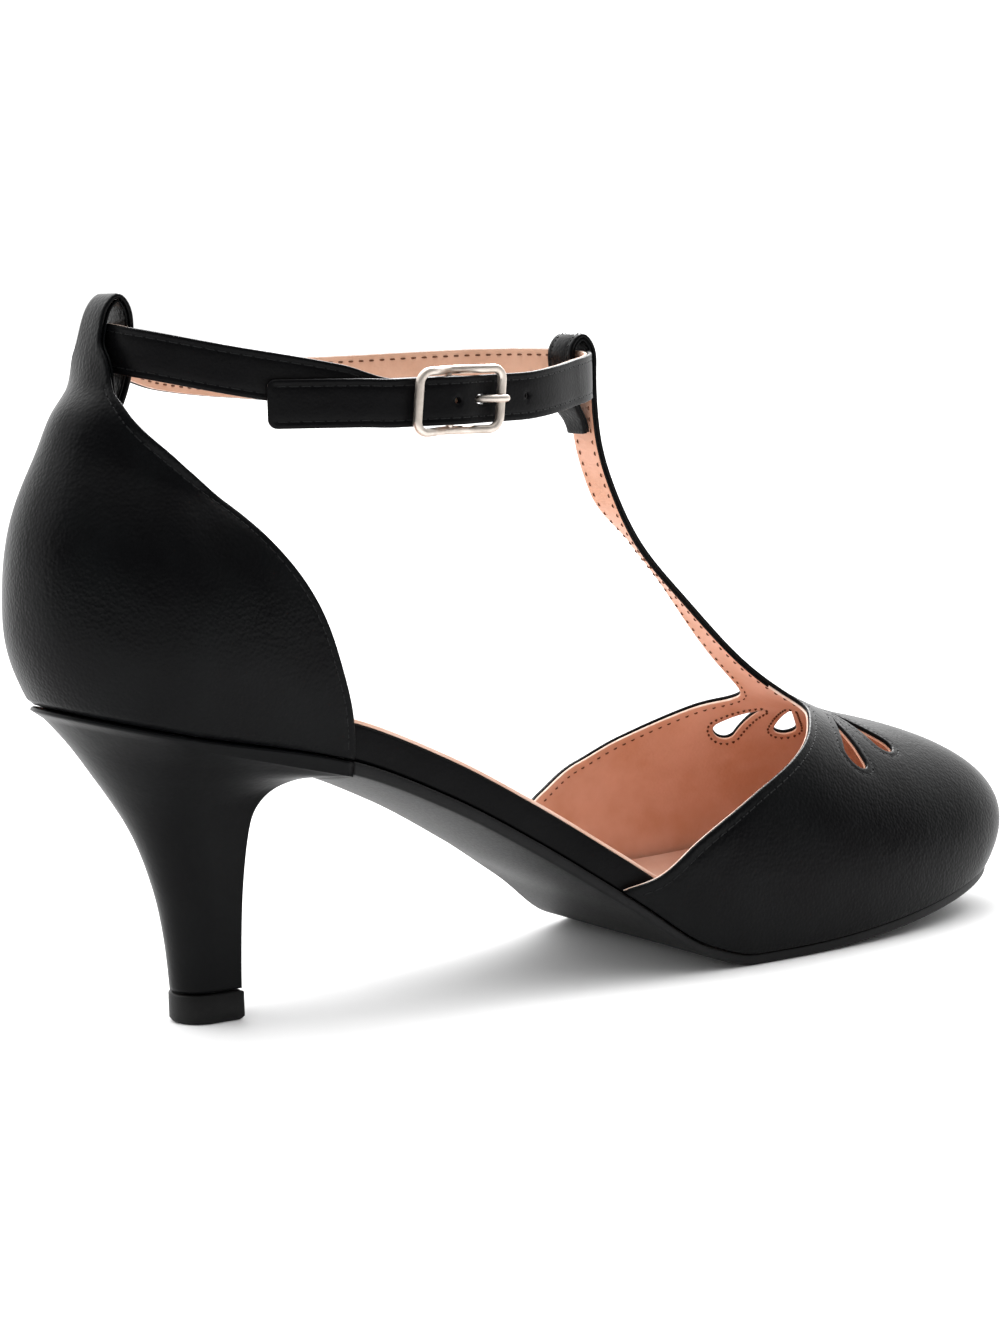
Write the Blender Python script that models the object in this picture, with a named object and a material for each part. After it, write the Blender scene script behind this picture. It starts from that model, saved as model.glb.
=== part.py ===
"""T-strap shoe on a curved mid heel, the right shoe of a pair.

Metres, +X to the toe, +Y to the inner side of the foot, +Z up. The shoe stands on z = 0.
Sizes are first worked out from the back of the feather line, the line where upper meets
sole, and the whole shoe is then moved so that the middle of its box lies over the origin.
"""
import bmesh
import bpy
import numpy as np
from mathutils import Matrix, Vector
from mathutils.geometry import delaunay_2d_cdt

# Sole and last
SOLE_LENGTH = 0.2350
BALL_WIDTH = 0.0724
SEAT_WIDTH = 0.0466
SEAT_HEIGHT = 0.0668
TOE_SPRING = 0.0095
OUTSOLE_THICKNESS = 0.0025
OUTSOLE_INSET = 0.0008
WAIST_CROWN = 0.0028
CROWN_FADE_START = 0.098
CROWN_FADE_END = 0.124
GAP = 0.0003

# Footbed and sock lining
FOOTBED_WAIST = 0.0075
FOOTBED_TOE = 0.0035
FOOTBED_THIN_START = 0.127
FOOTBED_THIN_END = 0.165
SOCK_THICKNESS = 0.0009
SOCK_INSET = 0.0004

# Upper
UPPER_WALL = 0.0015
THROAT_X = 0.1793
THROAT_HEIGHT = 0.0542
TOE_RIDGE_HEIGHT = 0.0420
COUNTER_HEIGHT = 0.0580
COUNTER_LENGTH = 0.0566
COUNTER_BULGE = 0.0045
VAMP_BACK_X = 0.1160
THROAT_WIDTH = 0.0216
T_STRAP_WIDTH = 0.0084
T_STRAP_TWIST = np.radians(26)
T_STRAP_RUN = 0.0481
T_LOOP_TOP = 0.1358
T_LOOP_HEIGHT = 0.0240
T_LOOP_DEPTH = 0.0070
HEEL_LOOP_WIDTH = 0.0140
HEEL_LOOP_HEIGHT = 0.0221
HEEL_LOOP_DEPTH = 0.0088
HEEL_LOOP_TAPER = 0.42
TEARDROP_LENGTH = 0.0170
TEARDROP_RADIUS = 0.0030

# Heel
HEEL_TIP_HEIGHT = 0.0062
HEEL_TIP_RADIUS = 0.0064
HEEL_TIP_LENGTH = 0.0124
HEEL_TIP_SETBACK = 0.0261
HEEL_TIP_LIP = 0.0003

# Ankle strap and buckle
STRAP_WIDTH = 0.0096
STRAP_THICKNESS = 0.0016
STRAP_FRONT_HEIGHT = 0.1276
STRAP_RISE = 0.0092
STRAP_HALF_WIDTH = 0.0300
STRAP_FOLD = 0.0140
STRAP_SLACK = 0.0004
STRAP_BACK_SHARE = 0.804
BUCKLE_LENGTH = 0.0215
BUCKLE_WIRE = 0.0017
BUCKLE_CLEARANCE = 0.00035
BUCKLE_CORNER = 0.0024
BUCKLE_LEAN = 0.12
BUCKLE_HUMP = 0.0018
PRONG_WIRE = 0.0015
HOLE_SPACING = 0.0065
HOLE_RADIUS = 0.0008
PRONG_HOLE_AHEAD = 0.0057

# Fineness of the faceted model
STATION_COUNT = 36
PLATE_ROWS = 5
PLATE_CLEARANCE = 0.0035
NET_CLEARANCE = 0.0016
RIB_POINTS = 9
FAN_RIBS = 15
TEARDROP_POINTS = 11
HEEL_POINTS = 10

# Feather line. Station and columns are shares: of the sole length, of the way from seat
# width to ball width on the outer and inner side, and of the way up from ball to seat.
SOLE_COLUMNS = ("station", "outer", "inner", "height")
SOLE_ROWS = np.array([
    (0.000, 0.00, 0.00, 1.000),
    (0.099, 0.00, 0.00, 0.908),
    (0.241, 0.08, 0.03, 0.787),
    (0.335, 0.22, -0.09, 0.635),
    (0.419, 0.45, -0.12, 0.453),
    (0.505, 0.80, 0.08, 0.238),
    (0.583, 0.98, 0.62, 0.048),
    (0.634, 1.00, 0.93, 0.000),
    (0.683, 1.00, 1.00, 0.000),
    (1.000, 1.00, 1.00, 0.000),
])
OUTER = -1
INNER = 1
BALL_SHARE = {OUTER: 0.48, INNER: 0.52}
TOE_START = {OUTER: 0.620, INNER: 0.675}
TOE_POWER = {OUTER: 2.6, INNER: 2.2}
TREAD_START = 0.634
TREAD_END = 0.683
SPRING_POWER = 1.8

# Vamp ridge: share of the way from throat to toe, share of the way from the ridge's
# height at the toe to its height at the throat. The first two rows carry the sides back.
RIDGE_ROWS = np.array([
    (-1.15, 3.20), (-0.29, 1.75), (0.00, 1.00), (0.100, 0.770), (0.218, 0.540),
    (0.361, 0.345), (0.502, 0.210), (0.679, 0.105), (1.000, 0.000),
])
VAMP_POLE = 0.354
RIB_ANGLE = np.radians(105)
TOE_RIB_ANGLE = np.radians(114)
RIB_SPREAD = RIB_ANGLE / np.sin(RIB_ANGLE)

# T-strap line: share of the run back from the throat, share of the rise to the loop.
T_STRAP_ROWS = np.array([
    (-0.116, -0.050), (0.00, 0.00), (0.289, 0.189), (0.572, 0.428), (0.774, 0.618),
    (0.908, 0.823), (0.979, 1.000),
])
# T-loop: share of its depth from front to back, share of its height.
T_LOOP_ROWS = np.array([
    (0.00, 0.38), (0.00, 0.68), (0.07, 0.89), (0.50, 1.005), (0.95, 0.90), (1.00, 0.68),
    (0.99, 0.52), (0.92, 0.38), (0.74, 0.29), (0.56, 0.21), (0.46, 0.11),
])
# Back line of the counter: share of its height, share of its bulge, backward negative.
BACK_ROWS = np.array([
    (0.00, 0.00), (0.07, -0.40), (0.20, -0.91), (0.36, -1.00), (0.61, -0.56),
    (0.74, 0.04), (0.87, 0.82), (1.00, 1.67),
])
# Heel loop: share of its depth from back to front, share of its height.
HEEL_LOOP_ROWS = np.array([
    (-0.17, 0.21), (0.00, 0.49), (0.15, 0.74), (0.40, 0.94), (0.66, 1.00), (0.91, 0.91),
    (1.00, 0.70), (0.97, 0.42), (0.76, 0.10), (0.30, -0.23), (-0.45, -0.58),
])
HEEL_LOOP_FOOT = 0.614

# Topline of the vamp: share of the way from its back end to the throat, share of the rib.
TOPLINE_ROWS = np.array([
    (0.00, 1.00), (0.117, 0.918), (0.25, 0.80), (0.35, 0.735), (0.505, 0.653),
    (0.66, 0.578), (0.80, 0.488), (0.892, 0.394), (0.954, 0.305), (0.988, 0.250),
    (1.004, 0.205),
])
# Edge of the T-strap: share of the throat's width behind the throat, half width as a
# share of the way from the strap's to the throat's.
FLARE_ROWS = np.array([
    (0.00, 1.00), (0.12, 0.62), (0.30, 0.33), (0.55, 0.13), (0.90, 0.02), (1.30, 0.00),
])
# Teardrops on the vamp's pattern: end of the round and heading from the ridge in degrees.
# The place is a share of the way from throat to toe and of half the ball width.
TEARDROP_ROWS = ((0.082, 0.83, 101), (0.346, 0.591, 62), (0.587, 0.0, 0))
# Topline of the counter: share of its length round the heel, share of its height at back.
COUNTER_ROWS = np.array([
    (1.00, 0.000), (0.985, 0.177), (0.957, 0.303), (0.922, 0.426), (0.867, 0.544),
    (0.781, 0.662), (0.667, 0.778), (0.532, 0.870), (0.381, 0.947), (0.270, 1.030),
    (0.200, 1.100), (0.147, 1.190),
])

# Heel sections from top to bottom. Back and front points are shares of the way from the
# tip to the seat, and half widths are shares of the way from the tip's to the seat's.
HEEL_COLUMNS = ("back_x", "back_z", "front_x", "front_z", "half_width", "front_width")
HEEL_ROWS = np.array([
    (0.000, 1.000, 1.000, 1.000, 1.000, 1.030),
    (0.100, 0.957, 1.000, 0.930, 0.930, 1.000),
    (0.280, 0.862, 0.800, 0.935, 0.740, 0.900),
    (0.460, 0.745, 0.580, 0.930, 0.550, 0.680),
    (0.600, 0.650, 0.380, 0.900, 0.400, 0.460),
    (0.700, 0.575, 0.215, 0.845, 0.300, 0.320),
    (0.780, 0.500, 0.100, 0.760, 0.235, 0.235),
    (0.868, 0.391, 0.035, 0.570, 0.160, 0.150),
    (0.938, 0.267, 0.008, 0.360, 0.090, 0.080),
    (0.980, 0.128, 0.000, 0.150, 0.035, 0.030),
    (1.000, 0.000, 0.000, 0.000, 0.000, 0.000),
])

# Ankle strap from its fold on the buckle, round the heel and the T-loop, to its tip:
# turn in degrees, share of the strap's rise above its height at the T-loop.
STRAP_ROWS = np.array([
    (-84.5, -0.37), (-97, -0.37), (-109, -0.03), (-130, 0.38), (-162, 0.87),
    (-180, 1.00), (-218, 0.79), (-234, 0.47), (-256, 0.20), (-279, 0.01), (-320, 0.065),
    (-360, 0.00), (-397.7, -0.15), (-411, -0.26), (-428, -0.37), (-458, -0.37),
    (-466, -0.33), (-486, -0.28),
])


def smooth_curve(x, knots, values):
    """A monotone cubic through a table's rows, read at x."""
    h = np.diff(knots)
    d = np.diff(values) / h
    slope = np.zeros(len(knots))
    rising = d[:-1] * d[1:] > 0
    a = 2 * h[1:] + h[:-1]
    b = h[1:] + 2 * h[:-1]
    safe = np.where(rising, d[:-1] * d[1:], 1.0)
    mean = (a + b) * safe / (a * d[1:] + b * d[:-1] + np.where(rising, 0.0, 1.0))
    slope[1:-1] = np.where(rising, mean, 0.0)
    slope[0] = d[0]
    slope[-1] = d[-1]
    x = np.clip(x, knots[0], knots[-1])
    i = np.clip(np.searchsorted(knots, x, side="right") - 1, 0, len(h) - 1)
    t = (x - knots[i]) / h[i]
    rise = values[i + 1] - values[i]
    start = slope[i] * h[i]
    end = slope[i + 1] * h[i]
    return values[i] + t * (start + t * (3 * rise - 2 * start - end + t * (start + end - 2 * rise)))


def spline(points):
    """A natural cubic through points. Returns a function of length along the chords."""
    points = np.asarray(points, float)
    chord = np.r_[0, np.cumsum(np.linalg.norm(np.diff(points, axis=0), axis=1))]
    h = np.diff(chord)
    n = len(chord)
    matrix = np.eye(n)
    right = np.zeros_like(points)
    for i in range(1, n - 1):
        matrix[i, i - 1:i + 2] = h[i - 1], 2 * (h[i - 1] + h[i]), h[i]
        right[i] = 6 * ((points[i + 1] - points[i]) / h[i] - (points[i] - points[i - 1]) / h[i - 1])
    bend = np.linalg.solve(matrix, right)

    def at(s):
        s = np.clip(s, 0, chord[-1])
        i = np.clip(np.searchsorted(chord, s, side="right") - 1, 0, n - 2)
        step = h[i][:, None]
        a = (chord[i + 1] - s)[:, None] / step
        b = 1 - a
        curve = (a**3 - a) * bend[i] + (b**3 - b) * bend[i + 1]
        return a * points[i] + b * points[i + 1] + curve * step**2 / 6

    return at, chord


def ease(x, low, high):
    """0 below low, 1 above high, smooth between."""
    t = np.clip((x - low) / (high - low), 0, 1)
    return t * t * (3 - 2 * t)


def half_width(x, side):
    """Half width of the feather line: the table's width with a round heel and a round toe."""
    share = x / SOLE_LENGTH
    seat = SEAT_WIDTH / 2
    column = np.where(side < 0, smooth_curve(share, SOLE_ROWS[:, 0], SOLE_ROWS[:, 1]),
                      smooth_curve(share, SOLE_ROWS[:, 0], SOLE_ROWS[:, 2]))
    ball = BALL_WIDTH * np.where(side < 0, BALL_SHARE[OUTER], BALL_SHARE[INNER])
    heel = np.sqrt(1 - np.clip(1 - x / seat, 0, 1)**2)
    start = np.where(side < 0, TOE_START[OUTER], TOE_START[INNER])
    power = np.where(side < 0, TOE_POWER[OUTER], TOE_POWER[INNER])
    toe = (1 - np.clip((share - start) / (1 - start), 0, 1)**power)**(1 / power)
    return (seat + (ball - seat) * column) * heel * toe


def feather(x):
    """Height of the feather line, which is the top of the outsole and of the heel."""
    share = np.clip(x / SOLE_LENGTH, 0, 1)
    seat = smooth_curve(share, SOLE_ROWS[:, 0], SOLE_ROWS[:, 3])
    toe = np.clip((share - TREAD_END) / (1 - TREAD_END), 0, 1)**SPRING_POWER
    return OUTSOLE_THICKNESS + (SEAT_HEIGHT - OUTSOLE_THICKNESS) * seat + TOE_SPRING * toe


def stations(start, end):
    """Places along the sole, closer together at heel and toe, with both ends kept."""
    turn = np.linspace(0, np.pi, STATION_COUNT)
    x = SOLE_LENGTH * (1 - np.cos(turn)) / 2
    tread = SOLE_LENGTH * np.array((TREAD_START, TREAD_END))
    x = np.r_[x[np.abs(x[:, None] - tread).min(1) > 0.004], tread]
    space = 0.35 * SOLE_LENGTH / STATION_COUNT
    between = x[(x > start + space * (start > 0)) & (x < end - space * (end < SOLE_LENGTH))]
    return np.unique(np.r_[start, between, end])


def outline(start, end, side):
    """Points of the feather line from start to end on one side."""
    x = stations(start, end)
    return np.stack([x, side * half_width(x, side)], 1)


def inset(points, distance):
    """An outline moved to its left by a distance, across its own direction."""
    along = np.gradient(points, axis=0)
    along /= np.linalg.norm(along, axis=1)[:, None]
    across = np.stack([-along[:, 1], along[:, 0]], 1)
    return points + across * np.reshape(distance, (-1, 1))


def sole_ring(start, distance):
    """The outline from start along the outer side, round the toe and back, set inwards."""
    outer = outline(start, SOLE_LENGTH, OUTER)
    inner = outline(start, SOLE_LENGTH, INNER)[::-1]
    ring = np.vstack([outer, inner[1:]])
    if start > 0:
        return inset(ring, distance)
    looped = np.vstack([ring[-2:-1], ring])
    return inset(looped, distance)[1:-1]


def inside(points, polygon):
    """Whether each point lies in a polygon, by the crossings of a ray."""
    x, y = points[:, 0, None], points[:, 1, None]
    x0, y0 = polygon.T
    x1, y1 = np.roll(polygon, -1, axis=0).T
    crosses = (y0 > y) != (y1 > y)
    run = np.where(y1 == y0, 1.0, y1 - y0)
    return (crosses & (x < x0 + (y - y0) * (x1 - x0) / run)).sum(1) % 2 == 1


def edge_distance(points, polygon):
    """Distance from each point to a polygon's nearest edge."""
    a = polygon
    b = np.roll(polygon, -1, axis=0)
    ab = b - a
    t = ((points[:, None] - a) * ab).sum(2) / np.maximum((ab**2).sum(1), 1e-18)
    nearest = a + np.clip(t, 0, 1)[:, :, None] * ab
    return np.linalg.norm(points[:, None] - nearest, axis=2).min(1)


def flat_net(border, holes, fill, clearance):
    """Triangles of a flat pattern: its border, its holes and loose points between them."""
    keep = inside(fill, border) & (edge_distance(fill, border) > clearance)
    for hole in holes:
        keep &= ~inside(fill, hole) & (edge_distance(fill, hole) > clearance)
    rings = [border] + holes
    points = np.vstack(rings + [fill[keep]])
    edges = []
    first = 0
    for ring in rings:
        count = len(ring)
        edges += [(first + i, first + (i + 1) % count) for i in range(count)]
        first += count
    scaled = [Vector((float(u) * 1000, float(v) * 1000)) for u, v in points]
    net = delaunay_2d_cdt(scaled, edges, [], 1, 1e-5)
    pattern = np.array([tuple(v) for v in net[0]]) / 1000
    triangles = np.array(net[2])
    middle = pattern[triangles].mean(1)
    solid = inside(middle, border)
    for hole in holes:
        solid &= ~inside(middle, hole)
    return pattern, triangles[solid]


def outward(surface, pattern, facing):
    """Unit normals of a surface, from steps along its two parameters."""
    step = 2e-5
    along = surface(pattern + (step, 0)) - surface(pattern - (step, 0))
    across = surface(pattern + (0, step)) - surface(pattern - (0, step))
    normal = np.cross(along, across) * facing
    return normal / np.linalg.norm(normal, axis=1)[:, None]


def closed(pattern, triangles, top, low, facing):
    """Two copies of a net, one over the other, joined along every edge of the pattern."""
    corner = pattern[triangles]
    u = corner[:, 1] - corner[:, 0]
    v = corner[:, 2] - corner[:, 0]
    turn = (u[:, 0] * v[:, 1] - u[:, 1] * v[:, 0]) * facing
    faces = np.where(turn[:, None] > 0, triangles, triangles[:, ::-1])
    sides = np.vstack([faces[:, [0, 1]], faces[:, [1, 2]], faces[:, [2, 0]]])
    known = {(int(a), int(b)) for a, b in sides}
    n = len(pattern)
    skirt = [(b, a, a + n, b + n) for a, b in known if (b, a) not in known]
    return np.vstack([top, low]), [*faces.tolist(), *(faces[:, ::-1] + n).tolist(), *skirt]


def sheet(surface, pattern, triangles, wall, facing):
    """A wall of even thickness under a surface."""
    top = surface(pattern)
    low = top - outward(surface, pattern, facing) * wall
    return closed(pattern, triangles, top, low, facing)


def stack(rings):
    """Faces that join rings of equal count. Caps run across, from one side to the other."""
    count = len(rings[0])
    faces = []
    for level in range(len(rings) - 1):
        low = level * count
        for i in range(count):
            j = (i + 1) % count
            faces.append((low + i, low + j, low + count + j, low + count + i))
    for first in (0, (len(rings) - 1) * count):
        for i in range(count // 2):
            strip = [first + i, first + i + 1, first + (count - i - 1) % count,
                     first + (count - i) % count]
            faces.append(tuple(dict.fromkeys(strip)))
    return np.vstack(rings), faces


def plate(ring, top, bottom):
    """A solid between two height functions, over a ring seen from above."""
    x = stations(ring[:, 0].min(), ring[:, 0].max())
    share = np.linspace(-0.75, 0.75, PLATE_ROWS)
    fill = np.vstack([np.stack([x, half_width(x, s) * s], 1) for s in share])
    pattern, triangles = flat_net(ring, [], fill, PLATE_CLEARANCE)
    upper = np.column_stack([pattern, top(*pattern.T)])
    lower = np.column_stack([pattern, bottom(*pattern.T)])
    return closed(pattern, triangles, upper, lower, 1)


def material(name, colour, roughness, metallic=0.0):
    """A plain finish."""
    finish = bpy.data.materials.new(name)
    finish.use_nodes = True
    shader = finish.node_tree.nodes["Principled BSDF"]
    shader.inputs["Base Color"].default_value = (*colour, 1)
    shader.inputs["Roughness"].default_value = roughness
    shader.inputs["Metallic"].default_value = metallic
    return finish


def body(name, points, faces, finish):
    """A named object from points and faces, its faces turned outwards."""
    mesh = bpy.data.meshes.new(name)
    mesh.from_pydata([tuple(p) for p in points], [], faces)
    shape = bmesh.new()
    shape.from_mesh(mesh)
    bmesh.ops.recalc_face_normals(shape, faces=shape.faces)
    bmesh.ops.triangulate(shape, faces=shape.faces)
    shape.to_mesh(mesh)
    shape.free()
    mesh.materials.append(finish)
    mesh.shade_smooth()
    mesh.set_sharp_from_angle(angle=np.radians(40))
    part = bpy.data.objects.new(name, mesh)
    bpy.context.collection.objects.link(part)
    return part


def rib_reach(x, y):
    """Length of the vamp's rib through a pattern point, where it leaves the ridge, its arc."""
    pole = THROAT_X + VAMP_POLE * (SOLE_LENGTH - THROAT_X)
    root = np.minimum(x, pole)
    rim_outer = outline(pole, SOLE_LENGTH, OUTER)
    rim_inner = outline(pole, SOLE_LENGTH, INNER)[::-1]
    rim = np.vstack([rim_outer, rim_inner[1:]]) - (pole, 0)
    heading = np.arctan2(rim[:, 1], rim[:, 0])
    turn = np.arctan2(y, x - root)
    fan = np.interp(turn, heading, np.linalg.norm(rim, axis=1))
    forward = np.where(x < pole, 0, np.cos(turn)**2)
    angle = RIB_ANGLE + (TOE_RIB_ANGLE - RIB_ANGLE) * forward
    return np.where(x < pole, half_width(x, np.sign(y)), fan), root, angle


def vamp_dome(pattern):
    """The vamp over the last, by ribs from the ridge to the feather line.

    The pattern keeps true lengths near the ridge. w is a point's share of its rib, which
    is an arc of an ellipse that passes its widest place just above the sole:
    out = sin(A w) / (A w), up = (cos(A w) - cos A) / (1 - cos A).
    """
    x, y = pattern.T
    reach, root, angle = rib_reach(x, y)
    w = np.hypot(x - root, y) * np.sin(angle) / (reach * angle)
    out = np.sinc(angle * w / np.pi)
    up = (np.cos(angle * w) - np.cos(angle)) / (1 - np.cos(angle))
    px = root + (x - root) * out
    base = feather(px) + GAP
    share = (px - THROAT_X) / (SOLE_LENGTH - THROAT_X)
    rise = smooth_curve(share, RIDGE_ROWS[:, 0], RIDGE_ROWS[:, 1])
    ridge = TOE_RIDGE_HEIGHT + (THROAT_HEIGHT - TOE_RIDGE_HEIGHT) * rise
    return np.stack([px, y * out, base + (ridge - base) * up], 1)


def t_strap_line():
    """The T-strap's outer face on the centre line, up from the vamp and over its loop."""
    base = T_LOOP_TOP - T_LOOP_HEIGHT
    back, rise = T_STRAP_ROWS.T
    strap = np.stack([THROAT_X - back * T_STRAP_RUN,
                      THROAT_HEIGHT + rise * (base - THROAT_HEIGHT)], 1)
    deep, high = T_LOOP_ROWS.T
    loop = np.stack([THROAT_X - T_STRAP_RUN - deep * T_LOOP_DEPTH,
                     base + high * T_LOOP_HEIGHT], 1)
    at, chord = spline(np.vstack([strap, loop]))
    return at, chord[1], chord[-1]


def vamp_surface(pattern):
    """Vamp and T-strap in one. Behind the throat x counts length along the T-strap."""
    dome = vamp_dome(pattern)
    at, start, end = t_strap_line()
    x, y = pattern.T
    s = np.maximum(THROAT_X - x, 0)
    point = at(start + s)
    ahead = at(start + s + 1e-4) - at(start + s - 1e-4)
    ahead /= np.linalg.norm(ahead, axis=1)[:, None]
    lift = np.stack([ahead[:, 1], -ahead[:, 0]], 1)
    run = s / T_STRAP_RUN
    level = ease(run, 0, 0.31)[:, None]
    lift = lift * level + np.array((0, 1)) * (1 - level)
    throat = np.column_stack([np.full(len(y), THROAT_X), y])
    drop = (THROAT_HEIGHT - vamp_dome(throat)[:, 2]) * (1 - 0.6 * ease(run, 0, 0.62))
    twist = T_STRAP_TWIST * (ease(run, 0.58, 0.88) - ease(run, 1.04, 1.36))
    reach = y + T_STRAP_WIDTH / 2
    line = point + lift * (reach * np.sin(twist) - drop)[:, None]
    strap = np.column_stack([line[:, 0], y - reach * (1 - np.cos(twist)), line[:, 1]])
    side = ease(np.abs(y), 0.3 * THROAT_WIDTH, 0.55 * THROAT_WIDTH)
    k = np.where(x < THROAT_X, side, 1.0)[:, None]
    return dome * k + strap * (1 - k)


def seat_arc():
    """The feather line round the heel by signed length, inner side positive, with normals."""
    x = np.linspace(0, np.pi, 400)
    x = (1 - np.cos(x)) * 0.7 * COUNTER_LENGTH
    outer = np.stack([x, -half_width(x, OUTER)], 1)[::-1]
    inner = np.stack([x, half_width(x, INNER)], 1)
    line = np.vstack([outer, inner[1:]])
    along = np.gradient(line, axis=0)
    along /= np.linalg.norm(along, axis=1)[:, None]
    arc = np.r_[0, np.cumsum(np.linalg.norm(np.diff(line, axis=0), axis=1))]
    return arc - arc[len(x) - 1], line, np.stack([-along[:, 1], along[:, 0]], 1)


def back_line():
    """The counter's outer face on the centre line, up the back and over the heel loop."""
    foot = feather(0.0) + GAP
    rise, bulge = BACK_ROWS.T
    back = np.stack([bulge * COUNTER_BULGE, foot + rise * COUNTER_HEIGHT], 1)
    root = back[-1] + (HEEL_LOOP_FOOT * HEEL_LOOP_DEPTH, 0)
    deep, high = HEEL_LOOP_ROWS.T
    loop = root + np.stack([deep * HEEL_LOOP_DEPTH, high * HEEL_LOOP_HEIGHT], 1)
    at, chord = spline(np.vstack([back, loop]))
    return at, chord[len(back) - 1], chord[-1]


def counter_surface(pattern):
    """Counter and heel loop in one: length round the feather line, length up the back."""
    a, s = pattern.T
    at, top, end = back_line()
    arc, line, normal = seat_arc()
    foot = np.stack([np.interp(a, arc, line[:, i]) for i in (0, 1)], 1)
    out = np.stack([np.interp(a, arc, normal[:, i]) for i in (0, 1)], 1)
    point = at(s)
    fade = 1 - 0.55 * ease(foot[:, 0], SEAT_WIDTH / 2, COUNTER_LENGTH)
    grow = np.where(point[:, 0] < 0, -point[:, 0] * fade, -point[:, 0])[:, None]
    wall = foot + out * grow
    height = feather(foot[:, 0]) + GAP + point[:, 1] - feather(0.0) - GAP
    cup = np.column_stack([wall, height])
    narrow = 1 - at(np.array([top]))[0, 0] / (SEAT_WIDTH / 2)
    y = a * narrow
    bend = 0.5 * y**2 / (SEAT_WIDTH / 2 * (narrow + 1.5 * ease(s, top, top + HEEL_LOOP_HEIGHT)))
    tab = np.column_stack([point[:, 0] + bend, y, point[:, 1]])
    k = ease(s, top - 0.012, top + 0.003)[:, None]
    return cup * (1 - k) + tab * k


def rib_point(x, share, side):
    """Pattern point on the rib at x, at a share of the way from ridge to feather line."""
    return np.stack([x, side * share * RIB_SPREAD * half_width(x, side)], 1)


def teardrop(end, heading):
    """A pointed drop: a round of the given radius with two straight flanks to its tip."""
    turn = np.radians(heading)
    along = np.array((np.cos(turn), np.sin(turn)))
    across = np.array((-along[1], along[0]))
    middle = np.array(end) - along * TEARDROP_RADIUS
    reach = TEARDROP_LENGTH - TEARDROP_RADIUS
    touch = np.arccos(TEARDROP_RADIUS / reach)
    round_turn = np.linspace(np.pi - touch, -(np.pi - touch), TEARDROP_POINTS)[:, None]
    bulb = middle + TEARDROP_RADIUS * (along * np.cos(round_turn) + across * np.sin(round_turn))
    return np.vstack([bulb, middle - along * reach])


def teardrops():
    """The five drops of the vamp: two pairs and one on the centre line."""
    holes = []
    for way, out, heading in TEARDROP_ROWS:
        x = THROAT_X + way * (SOLE_LENGTH - THROAT_X)
        for side in (OUTER, INNER)[:1 + (out > 0)]:
            holes.append(teardrop((x, side * out * BALL_WIDTH / 2), side * heading))
    return holes


def t_strap_half_width(s, length):
    """Half width of the T-strap at a length behind the throat."""
    flare = smooth_curve(s / THROAT_WIDTH, FLARE_ROWS[:, 0], FLARE_ROWS[:, 1])
    taper = 1 - 0.25 * ease(s, length - 0.008, length)
    return (T_STRAP_WIDTH + (THROAT_WIDTH - T_STRAP_WIDTH) * flare) / 2 * taper


def vamp():
    """Vamp with T-strap, open at the throat, underneath and at five teardrops."""
    pole = THROAT_X + VAMP_POLE * (SOLE_LENGTH - THROAT_X)
    at, start, end = t_strap_line()
    length = end - start
    fold = length - 1.9 * T_LOOP_HEIGHT
    s = np.r_[np.linspace(0, fold, 13), np.linspace(fold, length, 20)[1:]]
    edge = t_strap_half_width(s, length)
    rows = TOPLINE_ROWS[1:]
    top_x = VAMP_BACK_X + rows[:, 0] * (THROAT_X - VAMP_BACK_X)
    sides = {}
    for side in (OUTER, INNER):
        rim = outline(VAMP_BACK_X, SOLE_LENGTH, side)
        root = np.stack([np.minimum(rim[:, 0], pole), 0 * rim[:, 0]], 1)
        angle = rib_reach(rim[:, 0], rim[:, 1])[2]
        low = root + (rim - root) * (angle / np.sin(angle))[:, None]
        topline = rib_point(top_x, rows[:, 1], side)
        strap = np.stack([THROAT_X - s, side * edge], 1)
        sides[side] = low, topline, strap
    low, topline, strap = sides[OUTER]
    inner_low, inner_topline, inner_strap = sides[INNER]
    border = np.vstack([low, inner_low[::-1][1:], inner_topline, inner_strap, strap[::-1],
                        topline[::-1]])
    x = np.r_[np.arange(VAMP_BACK_X + 0.006, pole, 0.0065), pole]
    share = np.linspace(-1, 1, 2 * RIB_POINTS + 1)
    ribs = [rib_point(np.full(len(share), v), np.abs(share), np.sign(share)) for v in x]
    turn = np.radians(np.linspace(-90, 90, FAN_RIBS + 2)[1:-1])
    far, root, angle = rib_reach(pole + np.cos(turn), np.sin(turn))
    far = far * angle / np.sin(angle)
    for k in np.arange(1, RIB_POINTS) / RIB_POINTS:
        ribs.append(np.stack([pole + k * far * np.cos(turn), k * far * np.sin(turn)], 1))
    middle = np.stack([THROAT_X - s, 0 * s], 1)
    pattern, triangles = flat_net(border, teardrops(), np.vstack(ribs + [middle]), NET_CLEARANCE)
    return sheet(vamp_surface, pattern, triangles, UPPER_WALL, 1)


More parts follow.
